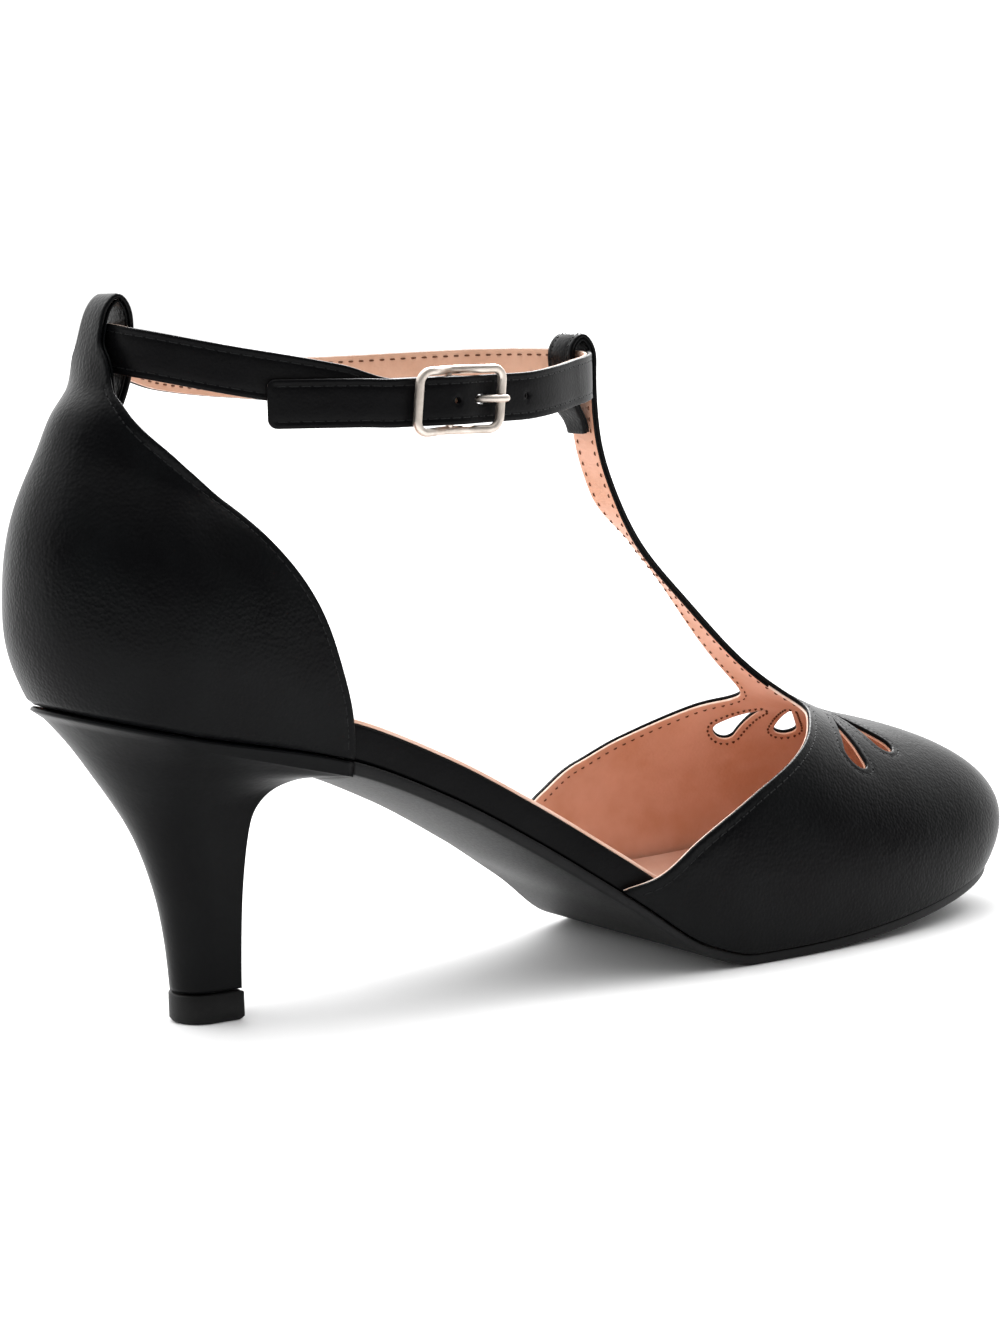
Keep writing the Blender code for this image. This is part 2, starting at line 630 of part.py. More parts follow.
def counter():
    """Heel counter with its tab, which folds forward into the loop for the ankle strap."""
    at, top, end = back_line()
    arc, line, normal = seat_arc()
    seam = outline(0, COUNTER_LENGTH, INNER)[:, 0]
    inner_arc = np.interp(seam, line[arc >= 0, 0], arc[arc >= 0])
    outer_arc = np.interp(seam, line[arc <= 0, 0][::-1], -arc[arc <= 0][::-1])
    narrow = 1 - at(np.array([top]))[0, 0] / (SEAT_WIDTH / 2)
    half_tab = HEEL_LOOP_WIDTH / 2 / narrow
    low = COUNTER_ROWS[-1, 1] * top
    s = np.linspace(low, end, 20)[1:]
    tab = half_tab * (1 - HEEL_LOOP_TAPER * ease(s, top, top + HEEL_LOOP_HEIGHT))
    rows = {}
    for side, front in ((OUTER, outer_arc[-1]), (INNER, inner_arc[-1])):
        share, height = COUNTER_ROWS[1:].T
        reach = np.maximum(share * front, half_tab)
        rows[side] = np.vstack([np.stack([side * reach, height * top], 1),
                                np.stack([side * tab, s], 1)])
    foot = np.r_[-outer_arc[::-1], inner_arc[1:]]
    border = np.vstack([np.stack([foot, 0 * foot], 1), rows[INNER], rows[OUTER][::-1]])
    across = np.linspace(-outer_arc[-1], inner_arc[-1], 27)
    up = np.arange(0.005, top + 0.012, 0.0055)
    fill = np.stack(np.meshgrid(across, up), 2).reshape(-1, 2)
    spine = np.stack([0 * s, s], 1)
    pattern, triangles = flat_net(border, [], np.vstack([fill, spine]), NET_CLEARANCE)
    return sheet(counter_surface, pattern, triangles, UPPER_WALL, -1)


def footbed_top(x, y):
    """Upper face of the wrapped footbed: thick to the ball, thin under the vamp."""
    thin = ease(x, FOOTBED_THIN_START, FOOTBED_THIN_END)
    return feather(x) + FOOTBED_WAIST + (FOOTBED_TOE - FOOTBED_WAIST) * thin


def sole_bottom(x, y):
    """Under face of the outsole: level across at the ball, crowned under the waist."""
    side = np.where(y < 0, OUTER, INNER)
    crown = WAIST_CROWN * (1 - ease(x, CROWN_FADE_START, CROWN_FADE_END))
    across = np.clip(np.abs(y) / np.maximum(half_width(x, side), 0.001), 0, 1)
    return feather(x) - OUTSOLE_THICKNESS - crown * (1 - across**2)


def heel_ring(row, lip=0.0):
    """One level of the heel: a round back, straight sides and a flat breast."""
    back_x, back_z, front_x, front_z, wide, front_wide = row
    base = HEEL_TIP_HEIGHT + GAP
    tip_front = HEEL_TIP_SETBACK + HEEL_TIP_LENGTH
    x0 = back_x * HEEL_TIP_SETBACK - lip
    x1 = tip_front + front_x * (COUNTER_LENGTH - tip_front) + lip
    w0 = HEEL_TIP_RADIUS + wide * (SEAT_WIDTH / 2 - HEEL_TIP_RADIUS) + lip
    w1 = HEEL_TIP_RADIUS + front_wide * (SEAT_WIDTH / 2 - HEEL_TIP_RADIUS) + lip
    share = np.sin(np.linspace(0, np.pi / 2, HEEL_POINTS))**2
    share = 0.5 * share + 0.5 * np.linspace(0, 1, HEEL_POINTS)**2
    x = x0 + (x1 - x0) * share
    bend = min(w0, 0.62 * (x1 - x0))
    across = np.sqrt(1 - np.clip(1 - (x - x0) / bend, 0, 1)**2)
    flare = np.clip((x - x0 - bend) / (x1 - x0 - bend), 0, 1)
    y = (w0 + (w1 - w0) * flare) * across
    breast = np.array((0.66, 0.33, 0.0)) * y[-1]
    x = np.r_[x, x1 + 0 * breast]
    y = np.r_[y, breast]
    back = base + back_z * (feather(0.0) - base)
    front = base + front_z * (feather(COUNTER_LENGTH) - base)
    z = back + (front - back) * (x - x0) / (x1 - x0)
    if back_z == 1:
        z = feather(x)
    left = np.stack([x, -y, z], 1)
    right = np.stack([x, y, z], 1)[-2:0:-1]
    return np.vstack([left, right])


def heel():
    """Wrapped heel: a cupped seat that runs down into a slim neck."""
    return stack([heel_ring(row) for row in HEEL_ROWS])


def heel_tip():
    """Top piece, the block that the heel stands on."""
    low = heel_ring(HEEL_ROWS[-1], HEEL_TIP_LIP)
    return stack([low * (1, 1, 0), low * (1, 1, 0) + (0, 0, HEEL_TIP_HEIGHT)])


def strap_ellipse(turn, offset):
    """Plan of the ankle strap: an ellipse between the two loops, set out by an offset."""
    back_x = (BACK_ROWS[-1, 1] * COUNTER_BULGE + STRAP_BACK_SHARE * HEEL_LOOP_DEPTH
              + UPPER_WALL + STRAP_THICKNESS / 2)
    front_x = (THROAT_X - T_STRAP_RUN - UPPER_WALL - GAP - STRAP_SLACK - STRAP_THICKNESS / 2)
    long = (front_x - back_x) / 2
    t = np.radians(turn)
    point = np.stack([(front_x + back_x) / 2 + long * np.cos(t), STRAP_HALF_WIDTH * np.sin(t)], 1)
    normal = np.stack([np.cos(t) / long, np.sin(t) / STRAP_HALF_WIDTH], 1)
    normal /= np.linalg.norm(normal, axis=1)[:, None]
    return point + normal * np.reshape(offset, (-1, 1)), normal


def buckle_place():
    """Centre of the buckle's bar with its directions: along, up and out."""
    turn = np.array([STRAP_ROWS[0, 0]])
    point, out = strap_ellipse(turn, BUCKLE_HUMP - fold_radius())
    height = STRAP_FRONT_HEIGHT + STRAP_ROWS[0, 1] * STRAP_RISE
    centre = np.array((*point[0], height))
    out = np.array((*out[0], 0))
    along = np.array((-out[1], out[0], 0))
    return centre, along, np.array((0, 0, 1.0)), out


def fold_radius():
    """Radius of the strap's middle where it turns round the buckle's bar."""
    return BUCKLE_WIRE / 2 + GAP + STRAP_THICKNESS / 2


def strap_line():
    """Middle of the ankle strap: points by length, outward normals, and places on it.

    It runs back from its stitched end, round the bar, round the heel and the T-loop,
    over itself through the buckle, and ends in its free tip.
    """
    layer = STRAP_THICKNESS + GAP
    per_degree = np.radians(1) * (THROAT_X - T_STRAP_RUN) / 2.35
    first = STRAP_ROWS[0, 0]

    def hump(turn):
        away = np.minimum(np.abs(turn - first), np.abs(turn - first + 360)) * per_degree
        return BUCKLE_HUMP * (1 - ease(away, 0, 0.42 * BUCKLE_LENGTH))

    back = np.linspace(first - STRAP_FOLD / per_degree, first, 60)
    spread = (2 * fold_radius() - layer) * (1 - ease((first - back) * per_degree, 0, 0.008))
    inner = strap_ellipse(back, hump(back) - layer - spread)[0]
    centre, along, up, out = buckle_place()
    sweep = np.linspace(-np.pi / 2, np.pi / 2, 40)[1:-1, None]
    turn_round = (centre + fold_radius() * (along * np.cos(sweep) + out * np.sin(sweep)))[:, :2]
    turn = np.linspace(first, STRAP_ROWS[-1, 0], 2400)
    offset = hump(turn) + layer * ease(-turn, 400, 426)
    outer = strap_ellipse(turn, offset)[0]
    rise = smooth_curve(-turn, -STRAP_ROWS[:, 0], STRAP_ROWS[:, 1])
    rise = np.r_[np.full(len(back) + len(turn_round), STRAP_ROWS[0, 1]), rise]
    plan = np.vstack([inner, turn_round, outer])
    line = np.column_stack([plan, STRAP_FRONT_HEIGHT + rise * STRAP_RISE])
    length = np.r_[0, np.cumsum(np.linalg.norm(np.diff(line, axis=0), axis=1))]
    ahead = np.gradient(plan, axis=0)
    ahead /= np.linalg.norm(ahead, axis=1)[:, None]
    normal = np.stack([-ahead[:, 1], ahead[:, 0], 0 * length], 1)
    fold_middle = (length[len(back)] + length[len(back) + len(turn_round)]) / 2
    over = len(back) + len(turn_round) + np.argmin(np.abs(turn - first + 360))
    return length, line, normal, fold_middle, length[over]


def strap_surface(pattern):
    """Outer face of the ankle strap: length along it and place across it."""
    length, line, normal, fold_middle, over = strap_line()
    p, q = pattern.T
    middle = np.stack([np.interp(p, length, line[:, i]) for i in range(3)], 1)
    out = np.stack([np.interp(p, length, normal[:, i]) for i in range(3)], 1)
    out /= np.linalg.norm(out, axis=1)[:, None]
    return middle + out * STRAP_THICKNESS / 2 + np.outer(q, (0, 0, 1))


def ellipse(middle, half_long, half_wide, count):
    """An oval hole."""
    t = np.arange(count) * 2 * np.pi / count
    return np.stack([middle + half_long * np.cos(t), half_wide * np.sin(t)], 1)


def ankle_strap():
    """The strap, with the slot for the prong's eye and the row of holes."""
    length, line, normal, fold_middle, over = strap_line()
    fold = np.pi * fold_radius() / 2
    near = np.linspace(fold_middle - fold, fold_middle + fold, 7)
    fine = np.linspace(fold_middle + fold, fold_middle + fold + 0.012, 4)
    over_buckle = np.arange(over - 0.024, over + 0.014, 0.003)
    rest = np.arange(fine[-1] + 0.006, over_buckle[0] - 0.003, 0.0065)
    end = np.arange(over_buckle[-1] + 0.006, length[-1] - 0.003, 0.0065)
    p = np.r_[0, near[0] / 2, near, fine[1:], rest, over_buckle, end, length[-1]]
    half = STRAP_WIDTH / 2
    border = np.vstack([np.stack([p, 0 * p - half], 1), np.stack([p, 0 * p + half], 1)[::-1]])
    slot = ellipse(fold_middle, fold + 0.0018, PRONG_WIRE / 2 + 2 * GAP, 12)
    prong_hole = over - PRONG_HOLE_AHEAD
    holes = [slot, ellipse(prong_hole, PRONG_WIRE + 2 * GAP, PRONG_WIRE / 2 + 1.5 * GAP, 10)]
    for place in (-2, -1, 1):
        holes.append(ellipse(prong_hole + place * HOLE_SPACING, HOLE_RADIUS, HOLE_RADIUS, 8))
    inner = np.vstack([np.stack([p, 0 * p + q], 1) for q in (-half / 2.2, half / 2.2)])
    pattern, triangles = flat_net(border, holes, inner, STRAP_THICKNESS / 2)
    return sheet(strap_surface, pattern, triangles, STRAP_THICKNESS, -1)


def wire(path, radius, closed_path, sides=8):
    """A round bar along a path, closed into a ring or capped at both ends."""
    path = np.asarray(path, float)
    if closed_path:
        ahead = np.roll(path, -1, axis=0) - np.roll(path, 1, axis=0)
    else:
        ahead = np.gradient(path, axis=0)
    ahead /= np.linalg.norm(ahead, axis=1)[:, None]
    centre, along, up, out = buckle_place()
    across = np.cross(ahead, out) if closed_path else np.tile(up, (len(path), 1))
    across /= np.linalg.norm(across, axis=1)[:, None]
    third = np.cross(across, ahead)
    t = np.arange(sides) * 2 * np.pi / sides
    radius = np.broadcast_to(radius, len(path))[:, None, None]
    ring = (path[:, None] + radius * (across[:, None] * np.cos(t)[:, None]
            + third[:, None] * np.sin(t)[:, None])).reshape(-1, 3)
    faces = []
    count = len(path)
    for i in range(count if closed_path else count - 1):
        j = (i + 1) % count
        for k in range(sides):
            n = (k + 1) % sides
            faces.append((i * sides + k, i * sides + n, j * sides + n, j * sides + k))
    if not closed_path:
        faces.append(tuple(range(sides))[::-1])
        faces.append(tuple(range((count - 1) * sides, count * sides)))
    return ring, faces


def frame_reach():
    """How far the buckle's end bars stand out from its centre bar."""
    layer = STRAP_THICKNESS + GAP
    return (layer + STRAP_THICKNESS / 2 + GAP + BUCKLE_WIRE / 2 - BUCKLE_HUMP + fold_radius())


def buckle_ring():
    """Middle line of the buckle's frame: a bowed rectangle with round corners."""
    centre, along, up, out = buckle_place()
    half_long = (BUCKLE_LENGTH - BUCKLE_WIRE) / 2
    half_wide = STRAP_WIDTH / 2 + BUCKLE_CLEARANCE + BUCKLE_WIRE / 2
    turn = np.radians(np.linspace(0, 90, 5))
    corner = BUCKLE_CORNER * np.stack([np.cos(turn), np.sin(turn)], 1)
    quarter = corner + (half_long - BUCKLE_CORNER, half_wide - BUCKLE_CORNER)
    rail = np.array([(0.45 * half_long, half_wide), (0, half_wide)])
    quarter = np.vstack([quarter, rail])
    half = np.vstack([quarter, (quarter * (-1, 1))[-2::-1]])
    ring = np.vstack([half, (half * (1, -1))[::-1]])
    bow = frame_reach() * ease(np.abs(ring[:, :1]), 0, half_long - BUCKLE_CORNER)
    lean = BUCKLE_LEAN * ring[:, 1:]
    return centre + (ring[:, :1] + lean) * along + ring[:, 1:] * up + bow * out


def bar_solid(ends):
    """The buckle's straight centre bar, between two ends."""
    centre, along, up, out = buckle_place()
    t = np.arange(8) * 2 * np.pi / 8 + np.pi / 8
    ring = BUCKLE_WIRE / 2 * (np.outer(np.cos(t), along) + np.outer(np.sin(t), out))
    return stack([end + ring for end in ends])


def buckle_prong():
    """Prong: an eye round the centre bar, up through the strap, resting on the far bar."""
    centre, along, up, out = buckle_place()
    half_long = (BUCKLE_LENGTH - BUCKLE_WIRE) / 2
    eye = BUCKLE_WIRE / 2 + GAP + PRONG_WIRE / 2
    rest = frame_reach() + BUCKLE_WIRE / 2 + GAP + PRONG_WIRE / 2
    turn = np.radians(np.linspace(-95, 5, 6))
    hook = eye * np.stack([np.cos(turn), np.sin(turn)], 1)
    arm = np.array([(0.68 * PRONG_HOLE_AHEAD, 0.13 * rest), (PRONG_HOLE_AHEAD, 0.41 * rest),
                    (1.25 * PRONG_HOLE_AHEAD, 0.74 * rest), (0.82 * half_long, 0.96 * rest),
                    (half_long, rest), (1.07 * half_long, 0.985 * rest)])
    path = np.vstack([hook, arm])
    radius = np.full(len(path), PRONG_WIRE / 2)
    radius[-1] *= 0.7
    return wire(centre + path[:, :1] * along + path[:, 1:] * out, radius, False)


def main():
    for old in list(bpy.data.objects):
        bpy.data.objects.remove(old, do_unlink=True)

    black = material("Black smooth leather", (0.012, 0.012, 0.013), 0.42)
    heel_black = material("Black wrapped heel", (0.010, 0.010, 0.011), 0.40)
    rubber = material("Black rubber sole", (0.011, 0.011, 0.011), 0.60)
    peach = material("Peach sock lining", (0.58, 0.32, 0.20), 0.60)
    nickel = material("Polished nickel", (0.75, 0.73, 0.70), 0.18, 1.0)

    sole_back = COUNTER_LENGTH + GAP
    bed = UPPER_WALL + 2 * GAP
    sock = bed + SOCK_INSET
    pieces = {
        "outsole": (*plate(sole_ring(sole_back, OUTSOLE_INSET), lambda x, y: feather(x),
                           sole_bottom), rubber),
        "footbed": (*plate(sole_ring(0, bed), footbed_top, lambda x, y: feather(x) + GAP),
                    black),
        "sock_lining": (*plate(sole_ring(0, sock),
                               lambda x, y: footbed_top(x, y) + GAP + SOCK_THICKNESS,
                               lambda x, y: footbed_top(x, y) + GAP), peach),
        "upper_vamp": (*vamp(), black),
        "upper_counter": (*counter(), black),
        "heel": (*heel(), heel_black),
        "heel_tip": (*heel_tip(), rubber),
        "ankle_strap": (*ankle_strap(), black),
        "buckle_frame": (*wire(buckle_ring(), BUCKLE_WIRE / 2, True), nickel),
        "buckle_prong": (*buckle_prong(), nickel),
    }
    every = np.vstack([points for points, faces, finish in pieces.values()])
    shift = -(every.min(0) + every.max(0)) / 2 * (1, 1, 0)
    parts = {name: body(name, points + shift, faces, finish)
             for name, (points, faces, finish) in pieces.items()}

    centre, along, up, out = buckle_place()
    reach = STRAP_WIDTH / 2 + BUCKLE_CLEARANCE + BUCKLE_WIRE / 2
    ends = [centre - up * reach, centre + up * reach]
    bar = body("centre_bar", *bar_solid(ends), nickel)
    bar.data.transform(Matrix.Translation(shift))
    join = parts["buckle_frame"].modifiers.new("Centre bar", "BOOLEAN")
    join.operation = "UNION"
    join.object = bar
    bar.hide_render = True
    bar.display_type = "WIRE"


if __name__ == "__main__":
    main()
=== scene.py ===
"""T-strap shoe on a curved mid heel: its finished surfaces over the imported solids.

Metres, +X to the toe, +Y to the inner side of the foot, +Z up. The shapes are first worked
out from the back of the feather line, the line where upper meets sole, as the solids were,
and every piece is then moved by SHIFT to where the solids stand.
"""

import bmesh
import bpy
import numpy as np
from mathutils import Matrix, Vector
from mathutils.geometry import delaunay_2d_cdt


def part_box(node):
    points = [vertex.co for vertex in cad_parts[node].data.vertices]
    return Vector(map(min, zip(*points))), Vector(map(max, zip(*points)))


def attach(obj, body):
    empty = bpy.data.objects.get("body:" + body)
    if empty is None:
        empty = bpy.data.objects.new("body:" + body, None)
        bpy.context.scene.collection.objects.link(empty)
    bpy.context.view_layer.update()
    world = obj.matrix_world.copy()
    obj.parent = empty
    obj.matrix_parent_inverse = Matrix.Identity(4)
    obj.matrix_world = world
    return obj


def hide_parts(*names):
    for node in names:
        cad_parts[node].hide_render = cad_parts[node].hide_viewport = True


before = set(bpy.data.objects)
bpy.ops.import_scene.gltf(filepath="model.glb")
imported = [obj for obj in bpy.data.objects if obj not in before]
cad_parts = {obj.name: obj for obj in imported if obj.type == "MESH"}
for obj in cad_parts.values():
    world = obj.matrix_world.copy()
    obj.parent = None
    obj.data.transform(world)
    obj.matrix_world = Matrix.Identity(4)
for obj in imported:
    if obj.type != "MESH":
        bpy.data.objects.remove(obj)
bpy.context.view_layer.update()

# Sole and last
SOLE_LENGTH = 0.2350
BALL_WIDTH = 0.0724
SEAT_WIDTH = 0.0466
SEAT_HEIGHT = 0.0668
TOE_SPRING = 0.0095
OUTSOLE_THICKNESS = 0.0025
OUTSOLE_INSET = 0.0008
WAIST_CROWN = 0.0028
CROWN_FADE_START = 0.098
CROWN_FADE_END = 0.124
GAP = 0.0003

# Footbed and sock lining
FOOTBED_WAIST = 0.0075
FOOTBED_TOE = 0.0035
FOOTBED_THIN_START = 0.127
FOOTBED_THIN_END = 0.165
SOCK_THICKNESS = 0.0009
SOCK_SHEET = 0.0005
SOCK_INSET = 0.0004

# The sock's edges curl up a little between the ball and the toes.
CUSHION_RISE = 0.0050
CUSHION_START = 0.122
CUSHION_FULL = 0.146
CUSHION_FADE = 0.185
CUSHION_END = 0.215

# Upper
UPPER_WALL = 0.0015
LEATHER_WALL = 0.0009
THROAT_X = 0.1793
THROAT_HEIGHT = 0.0542
TOE_RIDGE_HEIGHT = 0.0420
COUNTER_HEIGHT = 0.0580
COUNTER_LENGTH = 0.0566
COUNTER_BULGE = 0.0045
VAMP_BACK_X = 0.1160
THROAT_WIDTH = 0.0216
T_STRAP_WIDTH = 0.0084
EDGE_PAINT_START = 0.006
T_STRAP_TWIST = np.radians(21)
T_STRAP_RUN = 0.0481
T_LOOP_TOP = 0.1358
T_LOOP_HEIGHT = 0.0240
T_LOOP_DEPTH = 0.0070
HEEL_LOOP_WIDTH = 0.0140
HEEL_LOOP_HEIGHT = 0.0221
HEEL_LOOP_DEPTH = 0.0088
HEEL_LOOP_TAPER = 0.42
TEARDROP_LENGTH = 0.0170
TEARDROP_RADIUS = 0.0030

# Heel
HEEL_TIP_HEIGHT = 0.0062
HEEL_TIP_RADIUS = 0.0064
HEEL_TIP_LENGTH = 0.0124
HEEL_TIP_SETBACK = 0.0261
HEEL_TIP_LIP = 0.0003

# Ankle strap and buckle
STRAP_WIDTH = 0.0096
STRAP_THICKNESS = 0.0016
STRAP_LEATHER = 0.0010
STRAP_FRONT_HEIGHT = 0.1276
STRAP_RISE = 0.0092
STRAP_HALF_WIDTH = 0.0300
STRAP_FOLD = 0.0140
STRAP_SLACK = 0.0004
STRAP_BACK_SHARE = 0.804
BUCKLE_LENGTH = 0.0215
BUCKLE_WIRE = 0.0017
BUCKLE_CLEARANCE = 0.00035
BUCKLE_CORNER = 0.0024
BUCKLE_LEAN = 0.12
BUCKLE_HUMP = 0.0018
PRONG_WIRE = 0.0015
HOLE_SPACING = 0.0065
HOLE_RADIUS = 0.0008
PRONG_HOLE_AHEAD = 0.0057

# Length of the T-loop, measured from its end, whose inside is black like its outside
T_LOOP_LINED = 0.0300

# Stitches
STITCH_MARGIN = 0.0013
STITCH_PITCH = 0.0024
STITCH_LENGTH = 0.0019
THREAD_RADIUS = 0.00022
SEAM_DEPTH = 0.00013
SEAM_HALF_WIDTH = 0.00055

# Fineness
STATION_COUNT = 150
NET_STEP = 0.0011
FINE_STEP = 0.0006

SOLE_ROWS = np.array([
    (0.000, 0.00, 0.00, 1.000),
    (0.099, 0.00, 0.00, 0.908),
    (0.241, 0.08, 0.03, 0.787),
    (0.335, 0.22, -0.09, 0.635),
    (0.419, 0.45, -0.12, 0.453),
    (0.505, 0.80, 0.08, 0.238),
    (0.583, 0.98, 0.62, 0.048),
    (0.634, 1.00, 0.93, 0.000),
    (0.683, 1.00, 1.00, 0.000),
    (1.000, 1.00, 1.00, 0.000),
])
OUTER = -1
INNER = 1
BALL_SHARE = {OUTER: 0.48, INNER: 0.52}
TOE_START = {OUTER: 0.620, INNER: 0.675}
TOE_POWER = {OUTER: 2.6, INNER: 2.2}
TREAD_START = 0.634
TREAD_END = 0.683
SPRING_POWER = 1.8

RIDGE_ROWS = np.array([
    (-1.15, 3.20), (-0.29, 1.75), (0.00, 1.00), (0.100, 0.770), (0.218, 0.540),
    (0.361, 0.345), (0.502, 0.210), (0.679, 0.105), (1.000, 0.000),
])
VAMP_POLE = 0.354
RIB_ANGLE = np.radians(105)
TOE_RIB_ANGLE = np.radians(114)
RIB_SPREAD = RIB_ANGLE / np.sin(RIB_ANGLE)

T_STRAP_ROWS = np.array([
    (-0.116, -0.050), (0.00, 0.00), (0.289, 0.189), (0.572, 0.428), (0.774, 0.618),
    (0.908, 0.823), (0.979, 1.000),
])
T_LOOP_ROWS = np.array([
    (0.00, 0.38), (0.00, 0.68), (0.07, 0.89), (0.50, 1.005), (0.95, 0.90), (1.00, 0.68),
    (0.99, 0.52), (0.92, 0.38), (0.74, 0.29), (0.56, 0.21), (0.46, 0.11),
])
BACK_ROWS = np.array([
    (0.00, 0.00), (0.07, -0.40), (0.20, -0.91), (0.36, -1.00), (0.61, -0.56),
    (0.74, 0.04), (0.87, 0.82), (1.00, 1.67),
])
HEEL_LOOP_ROWS = np.array([
    (-0.17, 0.21), (0.00, 0.49), (0.15, 0.74), (0.40, 0.94), (0.66, 1.00), (0.91, 0.91),
    (1.00, 0.70), (0.97, 0.42), (0.76, 0.10), (0.30, -0.23), (-0.45, -0.58),
])
HEEL_LOOP_FOOT = 0.614
TOPLINE_ROWS = np.array([
    (0.00, 1.00), (0.117, 0.918), (0.25, 0.80), (0.35, 0.735), (0.505, 0.653),
    (0.66, 0.578), (0.80, 0.488), (0.892, 0.394), (0.954, 0.305), (0.988, 0.250),
    (1.004, 0.205),
])
FLARE_ROWS = np.array([
    (0.00, 1.00), (0.12, 0.62), (0.30, 0.33), (0.55, 0.13), (0.90, 0.02), (1.30, 0.00),
])
TEARDROP_ROWS = ((0.082, 0.83, 101), (0.346, 0.591, 62), (0.587, 0.0, 0))
COUNTER_ROWS = np.array([
    (1.00, 0.000), (0.985, 0.177), (0.957, 0.303), (0.922, 0.426), (0.867, 0.544),
    (0.781, 0.662), (0.667, 0.778), (0.532, 0.870), (0.381, 0.947), (0.270, 1.030),
    (0.200, 1.100), (0.147, 1.190),
])
HEEL_ROWS = np.array([
    (0.000, 1.000, 1.000, 1.000, 1.000, 1.030),
    (0.100, 0.957, 1.000, 0.930, 0.930, 1.000),
    (0.280, 0.862, 0.800, 0.935, 0.740, 0.900),
    (0.460, 0.745, 0.580, 0.930, 0.550, 0.680),
    (0.600, 0.650, 0.380, 0.900, 0.400, 0.460),
    (0.700, 0.575, 0.215, 0.845, 0.300, 0.320),
    (0.780, 0.500, 0.100, 0.760, 0.235, 0.235),
    (0.868, 0.391, 0.035, 0.570, 0.160, 0.150),
    (0.938, 0.267, 0.008, 0.360, 0.090, 0.080),
    (0.980, 0.128, 0.000, 0.150, 0.035, 0.030),
    (1.000, 0.000, 0.000, 0.000, 0.000, 0.000),
])
STRAP_ROWS = np.array([
    (-84.5, -0.37), (-97, -0.37), (-109, -0.03), (-130, 0.38), (-162, 0.87),
    (-180, 1.00), (-218, 0.79), (-234, 0.47), (-256, 0.20), (-279, 0.01), (-320, 0.065),
    (-360, 0.00), (-397.7, -0.15), (-411, -0.26), (-428, -0.37), (-458, -0.37),
    (-466, -0.33), (-486, -0.28),
])

# The heel tip has straight sides, so its solid tells where the shapes have to go.
TIP_LOW, TIP_HIGH = (np.array(corner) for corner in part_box("heel_tip"))
SHIFT = np.array((TIP_LOW[0] - HEEL_TIP_SETBACK + HEEL_TIP_LIP,
                  (TIP_LOW[1] + TIP_HIGH[1]) / 2, 0))


def smooth_curve(x, knots, values):
    """A monotone cubic through a table's rows, read at x."""
    h = np.diff(knots)
    d = np.diff(values) / h
    slope = np.zeros(len(knots))
    rising = d[:-1] * d[1:] > 0
    a = 2 * h[1:] + h[:-1]
    b = h[1:] + 2 * h[:-1]
    safe = np.where(rising, d[:-1] * d[1:], 1.0)
    mean = (a + b) * safe / (a * d[1:] + b * d[:-1] + np.where(rising, 0.0, 1.0))
    slope[1:-1] = np.where(rising, mean, 0.0)
    slope[0] = d[0]
    slope[-1] = d[-1]
    x = np.clip(x, knots[0], knots[-1])
    i = np.clip(np.searchsorted(knots, x, side="right") - 1, 0, len(h) - 1)
    t = (x - knots[i]) / h[i]
    rise = values[i + 1] - values[i]
    start = slope[i] * h[i]
    end = slope[i + 1] * h[i]
    return values[i] + t * (start + t * (3 * rise - 2 * start - end + t * (start + end - 2 * rise)))


def spline(points):
    """A natural cubic through points. Returns a function of length along the chords."""
    points = np.asarray(points, float)
    chord = np.r_[0, np.cumsum(np.linalg.norm(np.diff(points, axis=0), axis=1))]
    h = np.diff(chord)
    n = len(chord)
    matrix = np.diag(np.r_[1, 2 * (h[:-1] + h[1:]), 1])
    matrix += np.diag(np.r_[h[:-1], 0], -1) + np.diag(np.r_[0, h[1:]], 1)
    slope = np.diff(points, axis=0) / h[:, None]
    right = np.zeros_like(points)
    right[1:-1] = 6 * np.diff(slope, axis=0)
    bend = np.linalg.solve(matrix, right)

    def at(s):
        s = np.clip(s, 0, chord[-1])
        i = np.clip(np.searchsorted(chord, s, side="right") - 1, 0, n - 2)
        step = h[i][:, None]
        a = (chord[i + 1] - s)[:, None] / step
        b = 1 - a
        curve = (a**3 - a) * bend[i] + (b**3 - b) * bend[i + 1]
        return a * points[i] + b * points[i + 1] + curve * step**2 / 6

    return at, chord


def fine_curve(points, step):
    """The natural cubic through points, in steps of about one length, ends kept."""
    at, chord = spline(points)
    return at(np.linspace(0, chord[-1], int(chord[-1] / step) + 2))


def ease(x, low, high):
    """0 below low, 1 above high, smooth between."""
    t = np.clip((x - low) / (high - low), 0, 1)
    return t * t * (3 - 2 * t)


def half_width(x, side):
    """Half width of the feather line: the table's width with a round heel and a round toe."""
    share = x / SOLE_LENGTH
    seat = SEAT_WIDTH / 2
    column = np.where(side < 0, smooth_curve(share, SOLE_ROWS[:, 0], SOLE_ROWS[:, 1]),
                      smooth_curve(share, SOLE_ROWS[:, 0], SOLE_ROWS[:, 2]))
    ball = BALL_WIDTH * np.where(side < 0, BALL_SHARE[OUTER], BALL_SHARE[INNER])
    heel = np.sqrt(1 - np.clip(1 - x / seat, 0, 1)**2)
    start = np.where(side < 0, TOE_START[OUTER], TOE_START[INNER])
    power = np.where(side < 0, TOE_POWER[OUTER], TOE_POWER[INNER])
    toe = (1 - np.clip((share - start) / (1 - start), 0, 1)**power)**(1 / power)
    return (seat + (ball - seat) * column) * heel * toe


def feather(x):
    """Height of the feather line, which is the top of the outsole and of the heel."""
    share = np.clip(x / SOLE_LENGTH, 0, 1)
    seat = smooth_curve(share, SOLE_ROWS[:, 0], SOLE_ROWS[:, 3])
    toe = np.clip((share - TREAD_END) / (1 - TREAD_END), 0, 1)**SPRING_POWER
    return OUTSOLE_THICKNESS + (SEAT_HEIGHT - OUTSOLE_THICKNESS) * seat + TOE_SPRING * toe


